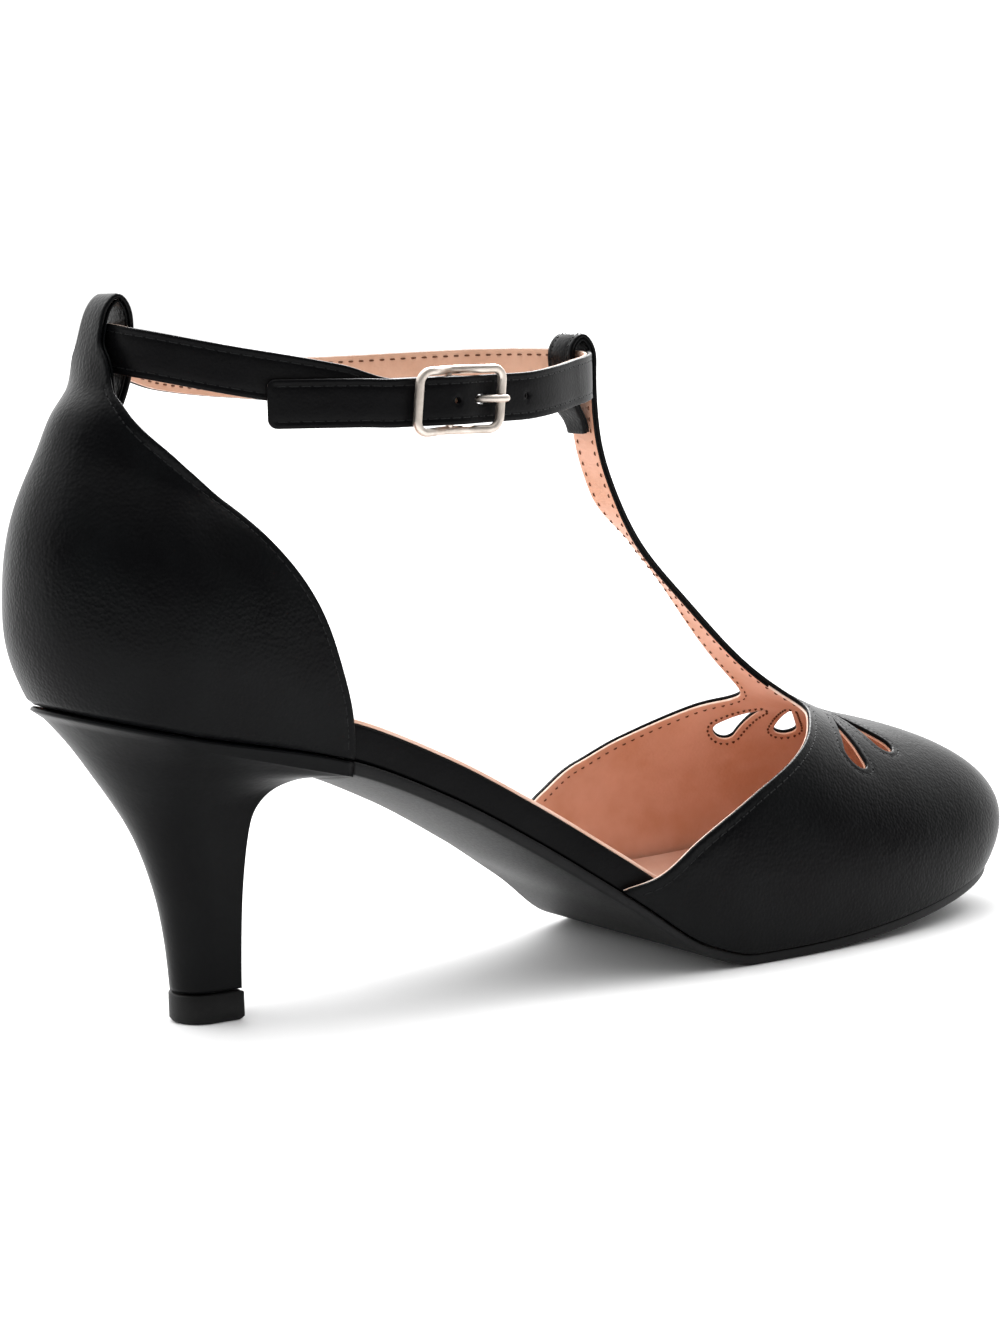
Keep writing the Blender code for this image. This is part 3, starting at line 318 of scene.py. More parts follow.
def stations(start, end):
    """Places along the sole, closer together at heel and toe, with both ends kept."""
    turn = np.linspace(0, np.pi, STATION_COUNT)
    x = SOLE_LENGTH * (1 - np.cos(turn)) / 2
    space = 0.2 * SOLE_LENGTH / STATION_COUNT
    between = x[(x > start + space * (start > 0)) & (x < end - space * (end < SOLE_LENGTH))]
    return np.unique(np.r_[start, between, end])


def outline(start, end, side):
    """Points of the feather line from start to end on one side."""
    x = stations(start, end)
    return np.stack([x, side * half_width(x, side)], 1)


def inset(points, distance):
    """An outline moved to its left by a distance, across its own direction."""
    along = np.gradient(points, axis=0)
    along /= np.linalg.norm(along, axis=1)[:, None]
    across = np.stack([-along[:, 1], along[:, 0]], 1)
    return points + across * np.reshape(distance, (-1, 1))


def sole_ring(start, distance):
    """The outline from start along the outer side, round the toe and back, set inwards."""
    outer = outline(start, SOLE_LENGTH, OUTER)
    inner = outline(start, SOLE_LENGTH, INNER)[::-1]
    ring = np.vstack([outer, inner[1:]])
    if start > 0:
        return inset(ring, distance)
    looped = np.vstack([ring[-2:-1], ring])
    return inset(looped, distance)[1:-1]


def inside(points, polygon):
    """Whether each point lies in a polygon, by the crossings of a ray."""
    x, y = points[:, 0, None], points[:, 1, None]
    x0, y0 = polygon.T
    x1, y1 = np.roll(polygon, -1, axis=0).T
    crosses = (y0 > y) != (y1 > y)
    run = np.where(y1 == y0, 1.0, y1 - y0)
    return (crosses & (x < x0 + (y - y0) * (x1 - x0) / run)).sum(1) % 2 == 1


def path_distance(points, path, closed=True):
    """Distance from each point to the nearest edge of a path."""
    a = path if closed else path[:-1]
    ab = (np.roll(path, -1, axis=0) if closed else path[1:]) - a
    size = np.maximum((ab**2).sum(1), 1e-18)
    dx = points[:, 0, None] - a[:, 0]
    dy = points[:, 1, None] - a[:, 1]
    t = np.clip((dx * ab[:, 0] + dy * ab[:, 1]) / size, 0, 1)
    return np.sqrt(((dx - t * ab[:, 0])**2 + (dy - t * ab[:, 1])**2).min(1))


def flat_net(border, holes, fill, clearance):
    """Triangles of a flat pattern, with the point numbers of its border and holes."""
    keep = inside(fill, border) & (path_distance(fill, border) > clearance)
    for hole in holes:
        keep &= ~inside(fill, hole) & (path_distance(fill, hole) > clearance)
    rings = [border] + holes
    points = np.vstack(rings + [fill[keep]])
    starts = np.cumsum([0] + [len(ring) for ring in rings])
    index = [np.arange(a, b) for a, b in zip(starts[:-1], starts[1:])]
    edges = np.vstack([np.stack([i, np.roll(i, -1)], 1) for i in index])
    scaled = [Vector(p) for p in (points * 1000).tolist()]
    net = delaunay_2d_cdt(scaled, edges.tolist(), [], 1, 1e-5)
    pattern = np.array(net[0]) / 1000
    triangles = np.array(net[2])
    middle = pattern[triangles].mean(1)
    solid = inside(middle, border)
    for hole in holes:
        solid &= ~inside(middle, hole)
    return pattern, triangles[solid], index


def outward(surface, pattern, facing):
    """Unit normals of a surface, from steps along its two parameters."""
    step = 2e-5
    along = surface(pattern + (step, 0)) - surface(pattern - (step, 0))
    across = surface(pattern + (0, step)) - surface(pattern - (0, step))
    normal = np.cross(along, across) * facing
    return normal / np.linalg.norm(normal, axis=1)[:, None]


def grid_points(low, high, step):
    """A staggered grid of loose points over a rectangle."""
    x = np.arange(low[0], high[0], step * 0.87)
    y = np.arange(low[1], high[1], step)
    place = np.stack(np.meshgrid(x, y, indexing="ij"), 2)
    place[1::2, :, 1] += step / 2
    return place.reshape(-1, 2)


def shell(surface, net, high, low, facing, bulge, rows=4, dark=None, dark_rim=None):
    """A layer between two depths under a surface, with a rounded rim.

    The rim's rings lie at (top + low) / 2 + (top - low) / 2 * cos(f) + out * bulge * sin(f),
    where out points away from the layer along the surface and f runs from 0 to 180 degrees.
    """
    pattern, triangles, index = net
    normal = outward(surface, pattern, facing)
    base = surface(pattern)
    top = base - normal * np.reshape(high, (-1, 1))
    under = base - normal * np.reshape(low, (-1, 1))
    corner = pattern[triangles]
    u = corner[:, 1] - corner[:, 0]
    v = corner[:, 2] - corner[:, 0]
    turn = (u[:, 0] * v[:, 1] - u[:, 1] * v[:, 0]) * facing
    tops = np.where(turn[:, None] > 0, triangles, triangles[:, ::-1])
    n = len(pattern)
    points = [top, under]
    faces = [tops.tolist(), (tops[:, ::-1] + n).tolist()]
    first = 2 * n
    f = np.linspace(0, np.pi, rows + 1)[1:-1]
    for which, ring in enumerate(index):
        p = pattern[ring]
        along = np.roll(p, -1, axis=0) - np.roll(p, 1, axis=0)
        area = (p[:, 0] * np.roll(p[:, 1], -1) - np.roll(p[:, 0], -1) * p[:, 1]).sum()
        side = np.sign(area) * (1 if which == 0 else -1)
        away = np.stack([along[:, 1], -along[:, 0]], 1) * side
        away /= np.linalg.norm(away, axis=1)[:, None]
        out = surface(p + away * 2e-5) - surface(p - away * 2e-5)
        out /= np.linalg.norm(out, axis=1)[:, None]
        half = (top[ring] - under[ring]) / 2
        middle = (top[ring] + under[ring]) / 2
        rim = (middle + half * np.cos(f)[:, None, None]
               + out * bulge * np.sin(f)[:, None, None])
        points.append(rim.reshape(-1, 3))
        count = len(ring)
        levels = np.vstack([ring, first + np.arange((rows - 1) * count).reshape(rows - 1, count),
                            ring + n])
        first += (rows - 1) * count
        a = levels[:-1]
        b = levels[1:]
        quads = np.stack([a, b, np.roll(b, -1, axis=1), np.roll(a, -1, axis=1)], 2)
        faces.append(quads.reshape(-1, 4).tolist())
    every = [face for part in faces for face in part]
    finish = np.ones(len(every), int)
    finish[:2 * len(tops)] = 0
    # Faces and rims under dark take the third finish, a black leather; on the ankle strap's lining this is
    # painted shade in and round its holes.
    if dark is not None:
        shaded = np.tile(dark(corner.mean(1)), 2)
        finish[:len(shaded)][shaded] = 2
        cut = np.concatenate([np.full(rows * len(ring), k > 0) for k, ring in enumerate(index)])
        finish[2 * len(tops):][cut] = 0
        painted = dark_rim or dark
        rings = np.concatenate([np.tile(painted(pattern[ring]), rows) for ring in index])
        finish[2 * len(tops):][rings] = 2
    return np.vstack(points), every, finish


def loft(rings, cap_low=True, cap_high=True):
    """Faces that join rings of equal count, with a fan to a middle point at each end."""
    rings = np.asarray(rings)
    levels, count = rings.shape[:2]
    number = np.arange(levels * count).reshape(levels, count)
    a, b = number[:-1], number[1:]
    quads = np.stack([a, np.roll(a, -1, axis=1), np.roll(b, -1, axis=1), b], 2)
    points = [rings.reshape(-1, 3)]
    faces = quads.reshape(-1, 4).tolist()
    last = levels * count
    for ring, wanted in ((0, cap_low), (levels - 1, cap_high)):
        if wanted:
            points.append(rings[ring].mean(0)[None])
            fan = np.stack([number[ring], np.roll(number[ring], -1), np.full(count, last)], 1)
            faces += fan.tolist()
            last += 1
    return np.vstack(points), faces


def slab(start, base, top, bottom, top_round, low_round, step=0.0016):
    """A plate between two height functions over the sole's plan, its edges rounded.

    A rounded edge is a quarter circle: inset r (1 - sin f), drop r (1 - cos f).
    """
    f = np.linspace(0, np.pi / 2, 6)
    rings = []
    for sign, r, face in ((-1, top_round, top), (1, low_round, bottom)):
        for turn in (f if sign < 0 else f[::-1]):
            plan = sole_ring(start, base + r * (1 - np.sin(turn)))
            height = face(*plan.T) + sign * r * (1 - np.cos(turn))
            rings.append(np.column_stack([plan, height]))
    count = len(rings[0])
    fill = grid_points((start, -BALL_WIDTH / 2), (SOLE_LENGTH, BALL_WIDTH / 2), step)
    points = []
    faces = []
    first = 0
    ends = []
    for ring, face in ((rings[0], top), (rings[-1], bottom)):
        pattern, triangles, index = flat_net(ring[:, :2], [], fill, 0.5 * step)
        points.append(np.column_stack([pattern, face(*pattern.T)]))
        faces += (triangles + first).tolist()
        ends.append(index[0] + first)
        first += len(pattern)
    middle = np.vstack(rings[1:-1])
    levels = np.vstack([ends[0], first + np.arange(len(middle)).reshape(-1, count), ends[1]])
    a, b = levels[:-1], levels[1:]
    quads = np.stack([a, b, np.roll(b, -1, axis=1), np.roll(a, -1, axis=1)], 2)
    faces += quads.reshape(-1, 4).tolist()
    return np.vstack(points + [middle]), faces


def make(name, points, faces, finishes, slot, replaced=(), rim=None):
    """A piece of the shoe on its body, faces outwards, with its finish; slot is not used."""
    mesh = bpy.data.meshes.new(name)
    mesh.from_pydata((points + SHIFT).tolist(), [], faces)
    if rim is not None:
        mesh.polygons.foreach_set("material_index", rim.astype(np.int32))
    for finish in finishes:
        mesh.materials.append(finish)
    shape = bmesh.new()
    shape.from_mesh(mesh)
    bmesh.ops.recalc_face_normals(shape, faces=shape.faces)
    shape.to_mesh(mesh)
    shape.free()
    mesh.shade_smooth()
    piece = bpy.data.objects.new(name, mesh)
    bpy.context.scene.collection.objects.link(piece)
    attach(piece, "root")
    if replaced:
        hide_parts(*replaced)
    return piece


def rib_reach(x, y):
    """Length of the vamp's rib through a pattern point, where it leaves the ridge, its arc."""
    pole = THROAT_X + VAMP_POLE * (SOLE_LENGTH - THROAT_X)
    root = np.minimum(x, pole)
    rim_outer = outline(pole, SOLE_LENGTH, OUTER)
    rim_inner = outline(pole, SOLE_LENGTH, INNER)[::-1]
    rim = np.vstack([rim_outer, rim_inner[1:]]) - (pole, 0)
    heading = np.arctan2(rim[:, 1], rim[:, 0])
    turn = np.arctan2(y, x - root)
    fan = np.interp(turn, heading, np.linalg.norm(rim, axis=1))
    forward = np.where(x < pole, 0, np.cos(turn)**2)
    angle = RIB_ANGLE + (TOE_RIB_ANGLE - RIB_ANGLE) * forward
    return np.where(x < pole, half_width(x, np.sign(y)), fan), root, angle


def vamp_dome(pattern):
    """The vamp over the last, by ribs from the ridge to the feather line.

    w is a point's share of its rib, an arc of an ellipse:
    out = sin(A w) / (A w), up = (cos(A w) - cos A) / (1 - cos A).
    """
    x, y = pattern.T
    reach, root, angle = rib_reach(x, y)
    w = np.hypot(x - root, y) * np.sin(angle) / (reach * angle)
    out = np.sinc(angle * w / np.pi)
    up = (np.cos(angle * w) - np.cos(angle)) / (1 - np.cos(angle))
    px = root + (x - root) * out
    base = feather(px) + GAP
    share = (px - THROAT_X) / (SOLE_LENGTH - THROAT_X)
    rise = smooth_curve(share, RIDGE_ROWS[:, 0], RIDGE_ROWS[:, 1])
    ridge = TOE_RIDGE_HEIGHT + (THROAT_HEIGHT - TOE_RIDGE_HEIGHT) * rise
    return np.stack([px, y * out, base + (ridge - base) * up], 1)


def t_strap_line():
    """The T-strap's outer face on the centre line, up from the vamp and over its loop."""
    base = T_LOOP_TOP - T_LOOP_HEIGHT
    back, rise = T_STRAP_ROWS.T
    strap = np.stack([THROAT_X - back * T_STRAP_RUN,
                      THROAT_HEIGHT + rise * (base - THROAT_HEIGHT)], 1)
    deep, high = T_LOOP_ROWS.T
    loop = np.stack([THROAT_X - T_STRAP_RUN - deep * T_LOOP_DEPTH,
                     base + high * T_LOOP_HEIGHT], 1)
    at, chord = spline(np.vstack([strap, loop]))
    return at, chord[1], chord[-1]


def vamp_surface(pattern):
    """Vamp and T-strap in one. Behind the throat x counts length along the T-strap."""
    dome = vamp_dome(pattern)
    at, start, end = t_strap_line()
    x, y = pattern.T
    s = np.maximum(THROAT_X - x, 0)
    point = at(start + s)
    ahead = at(start + s + 1e-4) - at(start + s - 1e-4)
    ahead /= np.linalg.norm(ahead, axis=1)[:, None]
    lift = np.stack([ahead[:, 1], -ahead[:, 0]], 1)
    run = s / T_STRAP_RUN
    level = ease(run, 0, 0.31)[:, None]
    lift = lift * level + np.array((0, 1)) * (1 - level)
    throat = np.column_stack([np.full(len(y), THROAT_X), y])
    drop = (THROAT_HEIGHT - vamp_dome(throat)[:, 2]) * (1 - 0.6 * ease(run, 0, 0.62))
    twist = T_STRAP_TWIST * (ease(run, 0.25, 0.95) - ease(run, 1.04, 1.36))
    reach = y + T_STRAP_WIDTH / 2
    line = point + lift * (reach * np.sin(twist) - drop)[:, None]
    strap = np.column_stack([line[:, 0], y - reach * (1 - np.cos(twist)), line[:, 1]])
    side = ease(np.abs(y), 0.3 * THROAT_WIDTH, 0.55 * THROAT_WIDTH)
    k = np.where(x < THROAT_X, side, 1.0)[:, None]
    return dome * k + strap * (1 - k)


def seat_arc():
    """The feather line round the heel by signed length, inner side positive, with normals."""
    x = np.linspace(0, np.pi, 400)
    x = (1 - np.cos(x)) * 0.7 * COUNTER_LENGTH
    outer = np.stack([x, -half_width(x, OUTER)], 1)[::-1]
    inner = np.stack([x, half_width(x, INNER)], 1)
    line = np.vstack([outer, inner[1:]])
    along = np.gradient(line, axis=0)
    along /= np.linalg.norm(along, axis=1)[:, None]
    arc = np.r_[0, np.cumsum(np.linalg.norm(np.diff(line, axis=0), axis=1))]
    return arc - arc[len(x) - 1], line, np.stack([-along[:, 1], along[:, 0]], 1)


def back_line():
    """The counter's outer face on the centre line, up the back and over the heel loop."""
    foot = feather(0.0) + GAP
    rise, bulge = BACK_ROWS.T
    back = np.stack([bulge * COUNTER_BULGE, foot + rise * COUNTER_HEIGHT], 1)
    root = back[-1] + (HEEL_LOOP_FOOT * HEEL_LOOP_DEPTH, 0)
    deep, high = HEEL_LOOP_ROWS.T
    loop = root + np.stack([deep * HEEL_LOOP_DEPTH, high * HEEL_LOOP_HEIGHT], 1)
    at, chord = spline(np.vstack([back, loop]))
    return at, chord[len(back) - 1], chord[-1]


def counter_surface(pattern):
    """Counter and heel loop in one: length round the feather line, length up the back."""
    a, s = pattern.T
    at, top, end = back_line()
    arc, line, normal = seat_arc()
    foot = np.stack([np.interp(a, arc, line[:, i]) for i in (0, 1)], 1)
    out = np.stack([np.interp(a, arc, normal[:, i]) for i in (0, 1)], 1)
    point = at(s)
    fade = 1 - 0.55 * ease(foot[:, 0], SEAT_WIDTH / 2, COUNTER_LENGTH)
    grow = np.where(point[:, 0] < 0, -point[:, 0] * fade, -point[:, 0])[:, None]
    wall = foot + out * grow
    height = feather(foot[:, 0]) + GAP + point[:, 1] - feather(0.0) - GAP
    cup = np.column_stack([wall, height])
    narrow = 1 - at(np.array([top]))[0, 0] / (SEAT_WIDTH / 2)
    y = a * narrow
    bend = 0.5 * y**2 / (SEAT_WIDTH / 2 * (narrow + 1.5 * ease(s, top, top + HEEL_LOOP_HEIGHT)))
    tab = np.column_stack([point[:, 0] + bend, y, point[:, 1]])
    k = ease(s, top - 0.012, top + 0.003)[:, None]
    return cup * (1 - k) + tab * k


def rib_point(x, share, side):
    """Pattern point on the rib at x, at a share of the way from ridge to feather line."""
    return np.stack([x, side * share * RIB_SPREAD * half_width(x, side)], 1)


def teardrop(end, heading, grow):
    """A drop grown by a margin: a round, two straight flanks and a small round at the tip."""
    turn = np.radians(heading)
    along = np.array((np.cos(turn), np.sin(turn)))
    across = np.array((-along[1], along[0]))
    middle = np.array(end) - along * TEARDROP_RADIUS
    reach = TEARDROP_LENGTH - TEARDROP_RADIUS
    touch = np.arccos(TEARDROP_RADIUS / reach)
    bulb = np.linspace(np.pi - touch, touch - np.pi, 34)[:, None]
    tip = np.linspace(touch - np.pi, -np.pi - touch, 7)[:, None]
    tip_radius = grow + 0.0001
    flank = np.linspace(0, 1, 14)[1:-1, None]
    rounds = []
    for centre, radius, f in ((middle, TEARDROP_RADIUS + grow, bulb),
                              (middle - along * reach, tip_radius, tip)):
        rounds.append(centre + radius * (along * np.cos(f) + across * np.sin(f)))
    bulb, tip = rounds
    down = bulb[-1] + (tip[0] - bulb[-1]) * flank
    up = tip[-1] + (bulb[0] - tip[-1]) * flank
    return np.vstack([bulb, down, tip, up])


def teardrops(grow):
    """The five drops of the vamp: two pairs and one on the centre line."""
    holes = []
    for way, out, heading in TEARDROP_ROWS:
        x = THROAT_X + way * (SOLE_LENGTH - THROAT_X)
        for side in (OUTER, INNER)[:1 + (out > 0)]:
            holes.append(teardrop((x, side * out * BALL_WIDTH / 2), side * heading, grow))
    return holes


def t_strap_half_width(s, length):
    """Half width of the T-strap at a length behind the throat."""
    flare = smooth_curve(s / THROAT_WIDTH, FLARE_ROWS[:, 0], FLARE_ROWS[:, 1])
    taper = 1 - 0.25 * ease(s, length - 0.008, length)
    return (T_STRAP_WIDTH + (THROAT_WIDTH - T_STRAP_WIDTH) * flare) / 2 * taper


def seam_rows(path, closed):
    """Loose points on and beside a seam, so that its groove is held by the net."""
    ring = np.vstack([path, path[:2]]) if closed else path
    return np.vstack([inset(ring, d) for d in np.array((-1.1, -0.5, 0, 0.5, 1.1)) * SEAM_HALF_WIDTH])


def groove(pattern, seams):
    """Depth of the leather's dip along its seams: depth * exp(-(distance / half width)^2)."""
    depth = np.zeros(len(pattern))
    for path, closed in seams:
        far = path_distance(pattern, path, closed)
        depth = np.maximum(depth, SEAM_DEPTH * np.exp(-(far / SEAM_HALF_WIDTH)**2))
    return depth


def vamp_layout():
    """The vamp's pattern with its seams: net, seams."""
    pole = THROAT_X + VAMP_POLE * (SOLE_LENGTH - THROAT_X)
    at, start, end = t_strap_line()
    length = end - start
    s = np.r_[np.linspace(0, length - 1.9 * T_LOOP_HEIGHT, 13),
              np.linspace(length - 1.9 * T_LOOP_HEIGHT, length, 20)[1:]]
    rows = TOPLINE_ROWS
    top_x = VAMP_BACK_X + rows[:, 0] * (THROAT_X - VAMP_BACK_X)
    lows = {}
    tops = {}
    seams = []
    for side in (OUTER, INNER):
        rim = outline(VAMP_BACK_X, SOLE_LENGTH, side)
        root = np.stack([np.minimum(rim[:, 0], pole), 0 * rim[:, 0]], 1)
        angle = rib_reach(rim[:, 0], rim[:, 1])[2]
        lows[side] = root + (rim - root) * (angle / np.sin(angle))[:, None]
        strap = np.stack([THROAT_X - s, side * t_strap_half_width(s, length)], 1)
        coarse = np.vstack([rib_point(top_x, rows[:, 1], side), strap])
        tops[side] = fine_curve(coarse, 0.0009)
        seam = inset(tops[side], side * STITCH_MARGIN)
        seams.append((seam[4:-8], False))
    end_y = np.linspace(1, -1, 8)[1:-1] * tops[INNER][-1, 1]
    border = np.vstack([lows[OUTER], lows[INNER][::-1][1:], tops[INNER][1:],
                        np.stack([0 * end_y + THROAT_X - length, end_y], 1),
                        tops[OUTER][::-1][:-1]])
    holes = teardrops(0.0)
    for ring in teardrops(STITCH_MARGIN):
        seams.append((ring, True))
    dome = grid_points((THROAT_X, -0.09), (SOLE_LENGTH + 0.09, 0.09), NET_STEP)
    wings = grid_points((VAMP_BACK_X, -0.09), (THROAT_X, 0.09), NET_STEP)
    wings = wings[np.abs(wings[:, 1]) > 0.6 * THROAT_WIDTH]
    stem = grid_points((THROAT_X - length, -0.6 * THROAT_WIDTH),
                       (THROAT_X, 0.6 * THROAT_WIDTH), FINE_STEP * 1.3)
    fill = [dome, wings, stem] + [seam_rows(path, closed) for path, closed in seams]
    return flat_net(border, holes, np.vstack(fill), 0.0003), seams


def counter_layout():
    """The counter's pattern with its seams: net, seams."""
    at, top, end = back_line()
    arc, line, normal = seat_arc()
    seam_x = outline(0, COUNTER_LENGTH, INNER)[:, 0]
    inner_arc = np.interp(seam_x, line[arc >= 0, 0], arc[arc >= 0])
    outer_arc = np.interp(seam_x, line[arc <= 0, 0][::-1], -arc[arc <= 0][::-1])
    narrow = 1 - at(np.array([top]))[0, 0] / (SEAT_WIDTH / 2)
    half_tab = HEEL_LOOP_WIDTH / 2 / narrow
    s = np.linspace(COUNTER_ROWS[-1, 1] * top, end, 20)[1:]
    tab = half_tab * (1 - HEEL_LOOP_TAPER * ease(s, top, top + HEEL_LOOP_HEIGHT))
    edges = {}
    seams = []
    for side, front in ((OUTER, outer_arc[-1]), (INNER, inner_arc[-1])):
        share, height = COUNTER_ROWS.T
        reach = np.maximum(share * front, half_tab)
        coarse = np.vstack([np.stack([side * reach, height * top], 1),
                            np.stack([side * tab, s], 1)])
        edges[side] = fine_curve(coarse, 0.0009)
        seam = inset(edges[side], side * STITCH_MARGIN)
        seams.append((seam[(np.arange(len(seam)) > 1) & (seam[:, 1] < 1.1 * top)], False))
    foot = np.r_[-outer_arc[::-1], inner_arc[1:]]
    end_a = np.linspace(1, -1, 10)[1:-1] * edges[INNER][-1, 0]
    border = np.vstack([np.stack([foot, 0 * foot], 1), edges[INNER][1:],
                        np.stack([end_a, 0 * end_a + end], 1), edges[OUTER][::-1][:-1]])
    cup = grid_points((-outer_arc[-1], 0), (inner_arc[-1], top + 0.004), NET_STEP)
    loop = grid_points((-1.2 * half_tab, top + 0.004), (1.2 * half_tab, end), FINE_STEP * 1.2)
    foot_rows = [np.stack([foot, 0 * foot + d], 1) for d in (0.0004, 0.0008, 0.0013)]
    fill = [cup, loop] + foot_rows + [seam_rows(path, closed) for path, closed in seams]
    return flat_net(border, [], np.vstack(fill), 0.0003), seams


def footbed_top(x, y):
    """Upper face of the wrapped footbed: thick to the ball, thin under the vamp."""
    thin = ease(x, FOOTBED_THIN_START, FOOTBED_THIN_END)
    return feather(x) + FOOTBED_WAIST + (FOOTBED_TOE - FOOTBED_WAIST) * thin


def cushion(x, y):
    """Rise of the sock's edges under the vamp: height * (share across)^3."""
    side = np.where(y < 0, OUTER, INNER)
    across = np.clip(np.abs(y) / np.maximum(half_width(x, side), 0.001), 0, 1)
    along = ease(x, CUSHION_START, CUSHION_FULL) * (1 - ease(x, CUSHION_FADE, CUSHION_END))
    return CUSHION_RISE * along * across**3


def sole_bottom(x, y):
    """Under face of the outsole: level across at the ball, crowned under the waist."""
    side = np.where(y < 0, OUTER, INNER)
    crown = WAIST_CROWN * (1 - ease(x, CROWN_FADE_START, CROWN_FADE_END))
    across = np.clip(np.abs(y) / np.maximum(half_width(x, side), 0.001), 0, 1)
    return feather(x) - OUTSOLE_THICKNESS - crown * (1 - across**2)


def heel_ring(row, lip=0.0, count=44):
    """One level of the heel: a round back, straight sides and a flat breast."""
    back_x, back_z, front_x, front_z, wide, front_wide = row
    base = HEEL_TIP_HEIGHT + GAP
    tip_front = HEEL_TIP_SETBACK + HEEL_TIP_LENGTH
    x0 = back_x * HEEL_TIP_SETBACK - lip
    x1 = tip_front + front_x * (COUNTER_LENGTH - tip_front) + lip
    w0 = HEEL_TIP_RADIUS + wide * (SEAT_WIDTH / 2 - HEEL_TIP_RADIUS) + lip
    w1 = HEEL_TIP_RADIUS + front_wide * (SEAT_WIDTH / 2 - HEEL_TIP_RADIUS) + lip
    share = np.sin(np.linspace(0, np.pi / 2, count))**2
    share = 0.5 * share + 0.5 * np.linspace(0, 1, count)**2
    x = x0 + (x1 - x0) * share
    bend = min(w0, 0.62 * (x1 - x0))
    across = np.sqrt(1 - np.clip(1 - (x - x0) / bend, 0, 1)**2)
    flare = np.clip((x - x0 - bend) / (x1 - x0 - bend), 0, 1)
    y = (w0 + (w1 - w0) * flare) * across
    breast = np.linspace(1, 0, 10)[1:] * y[-1]
    x = np.r_[x, x1 + 0 * breast]
    y = np.r_[y, breast]
    back = base + back_z * (feather(0.0) - base)
    front = base + front_z * (feather(COUNTER_LENGTH) - base)
    z = back + (front - back) * (x - x0) / (x1 - x0)
    if back_z == 1:
        z = feather(x)
    left = np.stack([x, -y, z], 1)
    right = np.stack([x, y, z], 1)[-2:0:-1]
    return np.vstack([left, right])


def heel_shape():
    """The heel's levels, read smoothly between the table's rows, top edge rolled in."""
    knots = np.arange(len(HEEL_ROWS), dtype=float)
    level = np.linspace(1.0, knots[-1], 80)
    columns = [smooth_curve(level, knots, column) for column in HEEL_ROWS.T]
    rows = np.stack(columns, 1)
    top = heel_ring(HEEL_ROWS[0])
    roll = 0.0007
    rolled = []
    for turn in np.linspace(0, np.pi / 2, 5):
        ring = heel_ring(HEEL_ROWS[0], -roll * (1 - np.sin(turn)))
        rolled.append(ring * (1, 1, 0) + top * (0, 0, 1) - (0, 0, roll * (1 - np.cos(turn))))
    between = []
    first = heel_ring(rows[0])
    for share in (0.3, 0.65):
        between.append(rolled[-1] * (1 - share) + first * share)
    return np.stack(rolled + between + [heel_ring(row) for row in rows])


def heel_tip_shape():
    """Top piece with a small groove under its upper edge and a bevel at the floor."""
    low = heel_ring(HEEL_ROWS[-1], 0.0)
    rows = ((0.0000, -0.0005), (0.0003, -0.0001), (0.0008, 0.0003), (0.0030, 0.0003),
            (0.0057, 0.0003), (0.0059, 0.0002), (0.0060, 0.0000), (0.0061, -0.0003),
            (0.0062, -0.0004))
    rings = []
    for height, lip in rows:
        ring = heel_ring(HEEL_ROWS[-1], lip)
        rings.append(ring * (1, 1, 0) + (0, 0, height))
    return np.stack(rings)


def strap_ellipse(turn, offset):
    """Plan of the ankle strap: an ellipse between the two loops, set out by an offset."""
    back_x = (BACK_ROWS[-1, 1] * COUNTER_BULGE + STRAP_BACK_SHARE * HEEL_LOOP_DEPTH
              + UPPER_WALL + STRAP_THICKNESS / 2)
    front_x = (THROAT_X - T_STRAP_RUN - UPPER_WALL - GAP - STRAP_SLACK - STRAP_THICKNESS / 2)
    long = (front_x - back_x) / 2
    t = np.radians(turn)
    point = np.stack([(front_x + back_x) / 2 + long * np.cos(t), STRAP_HALF_WIDTH * np.sin(t)], 1)
    normal = np.stack([np.cos(t) / long, np.sin(t) / STRAP_HALF_WIDTH], 1)
    normal /= np.linalg.norm(normal, axis=1)[:, None]
    return point + normal * np.reshape(offset, (-1, 1)), normal


def fold_radius():
    """Radius of the strap's middle where it turns round the buckle's bar."""
    return BUCKLE_WIRE / 2 + GAP + STRAP_THICKNESS / 2


def buckle_place():
    """Centre of the buckle's bar with its directions: along, up and out."""
    turn = np.array([STRAP_ROWS[0, 0]])
    point, out = strap_ellipse(turn, BUCKLE_HUMP - fold_radius())
    height = STRAP_FRONT_HEIGHT + STRAP_ROWS[0, 1] * STRAP_RISE
    centre = np.array((*point[0], height))
    out = np.array((*out[0], 0))
    along = np.array((-out[1], out[0], 0))
    return centre, along, np.array((0, 0, 1.0)), out


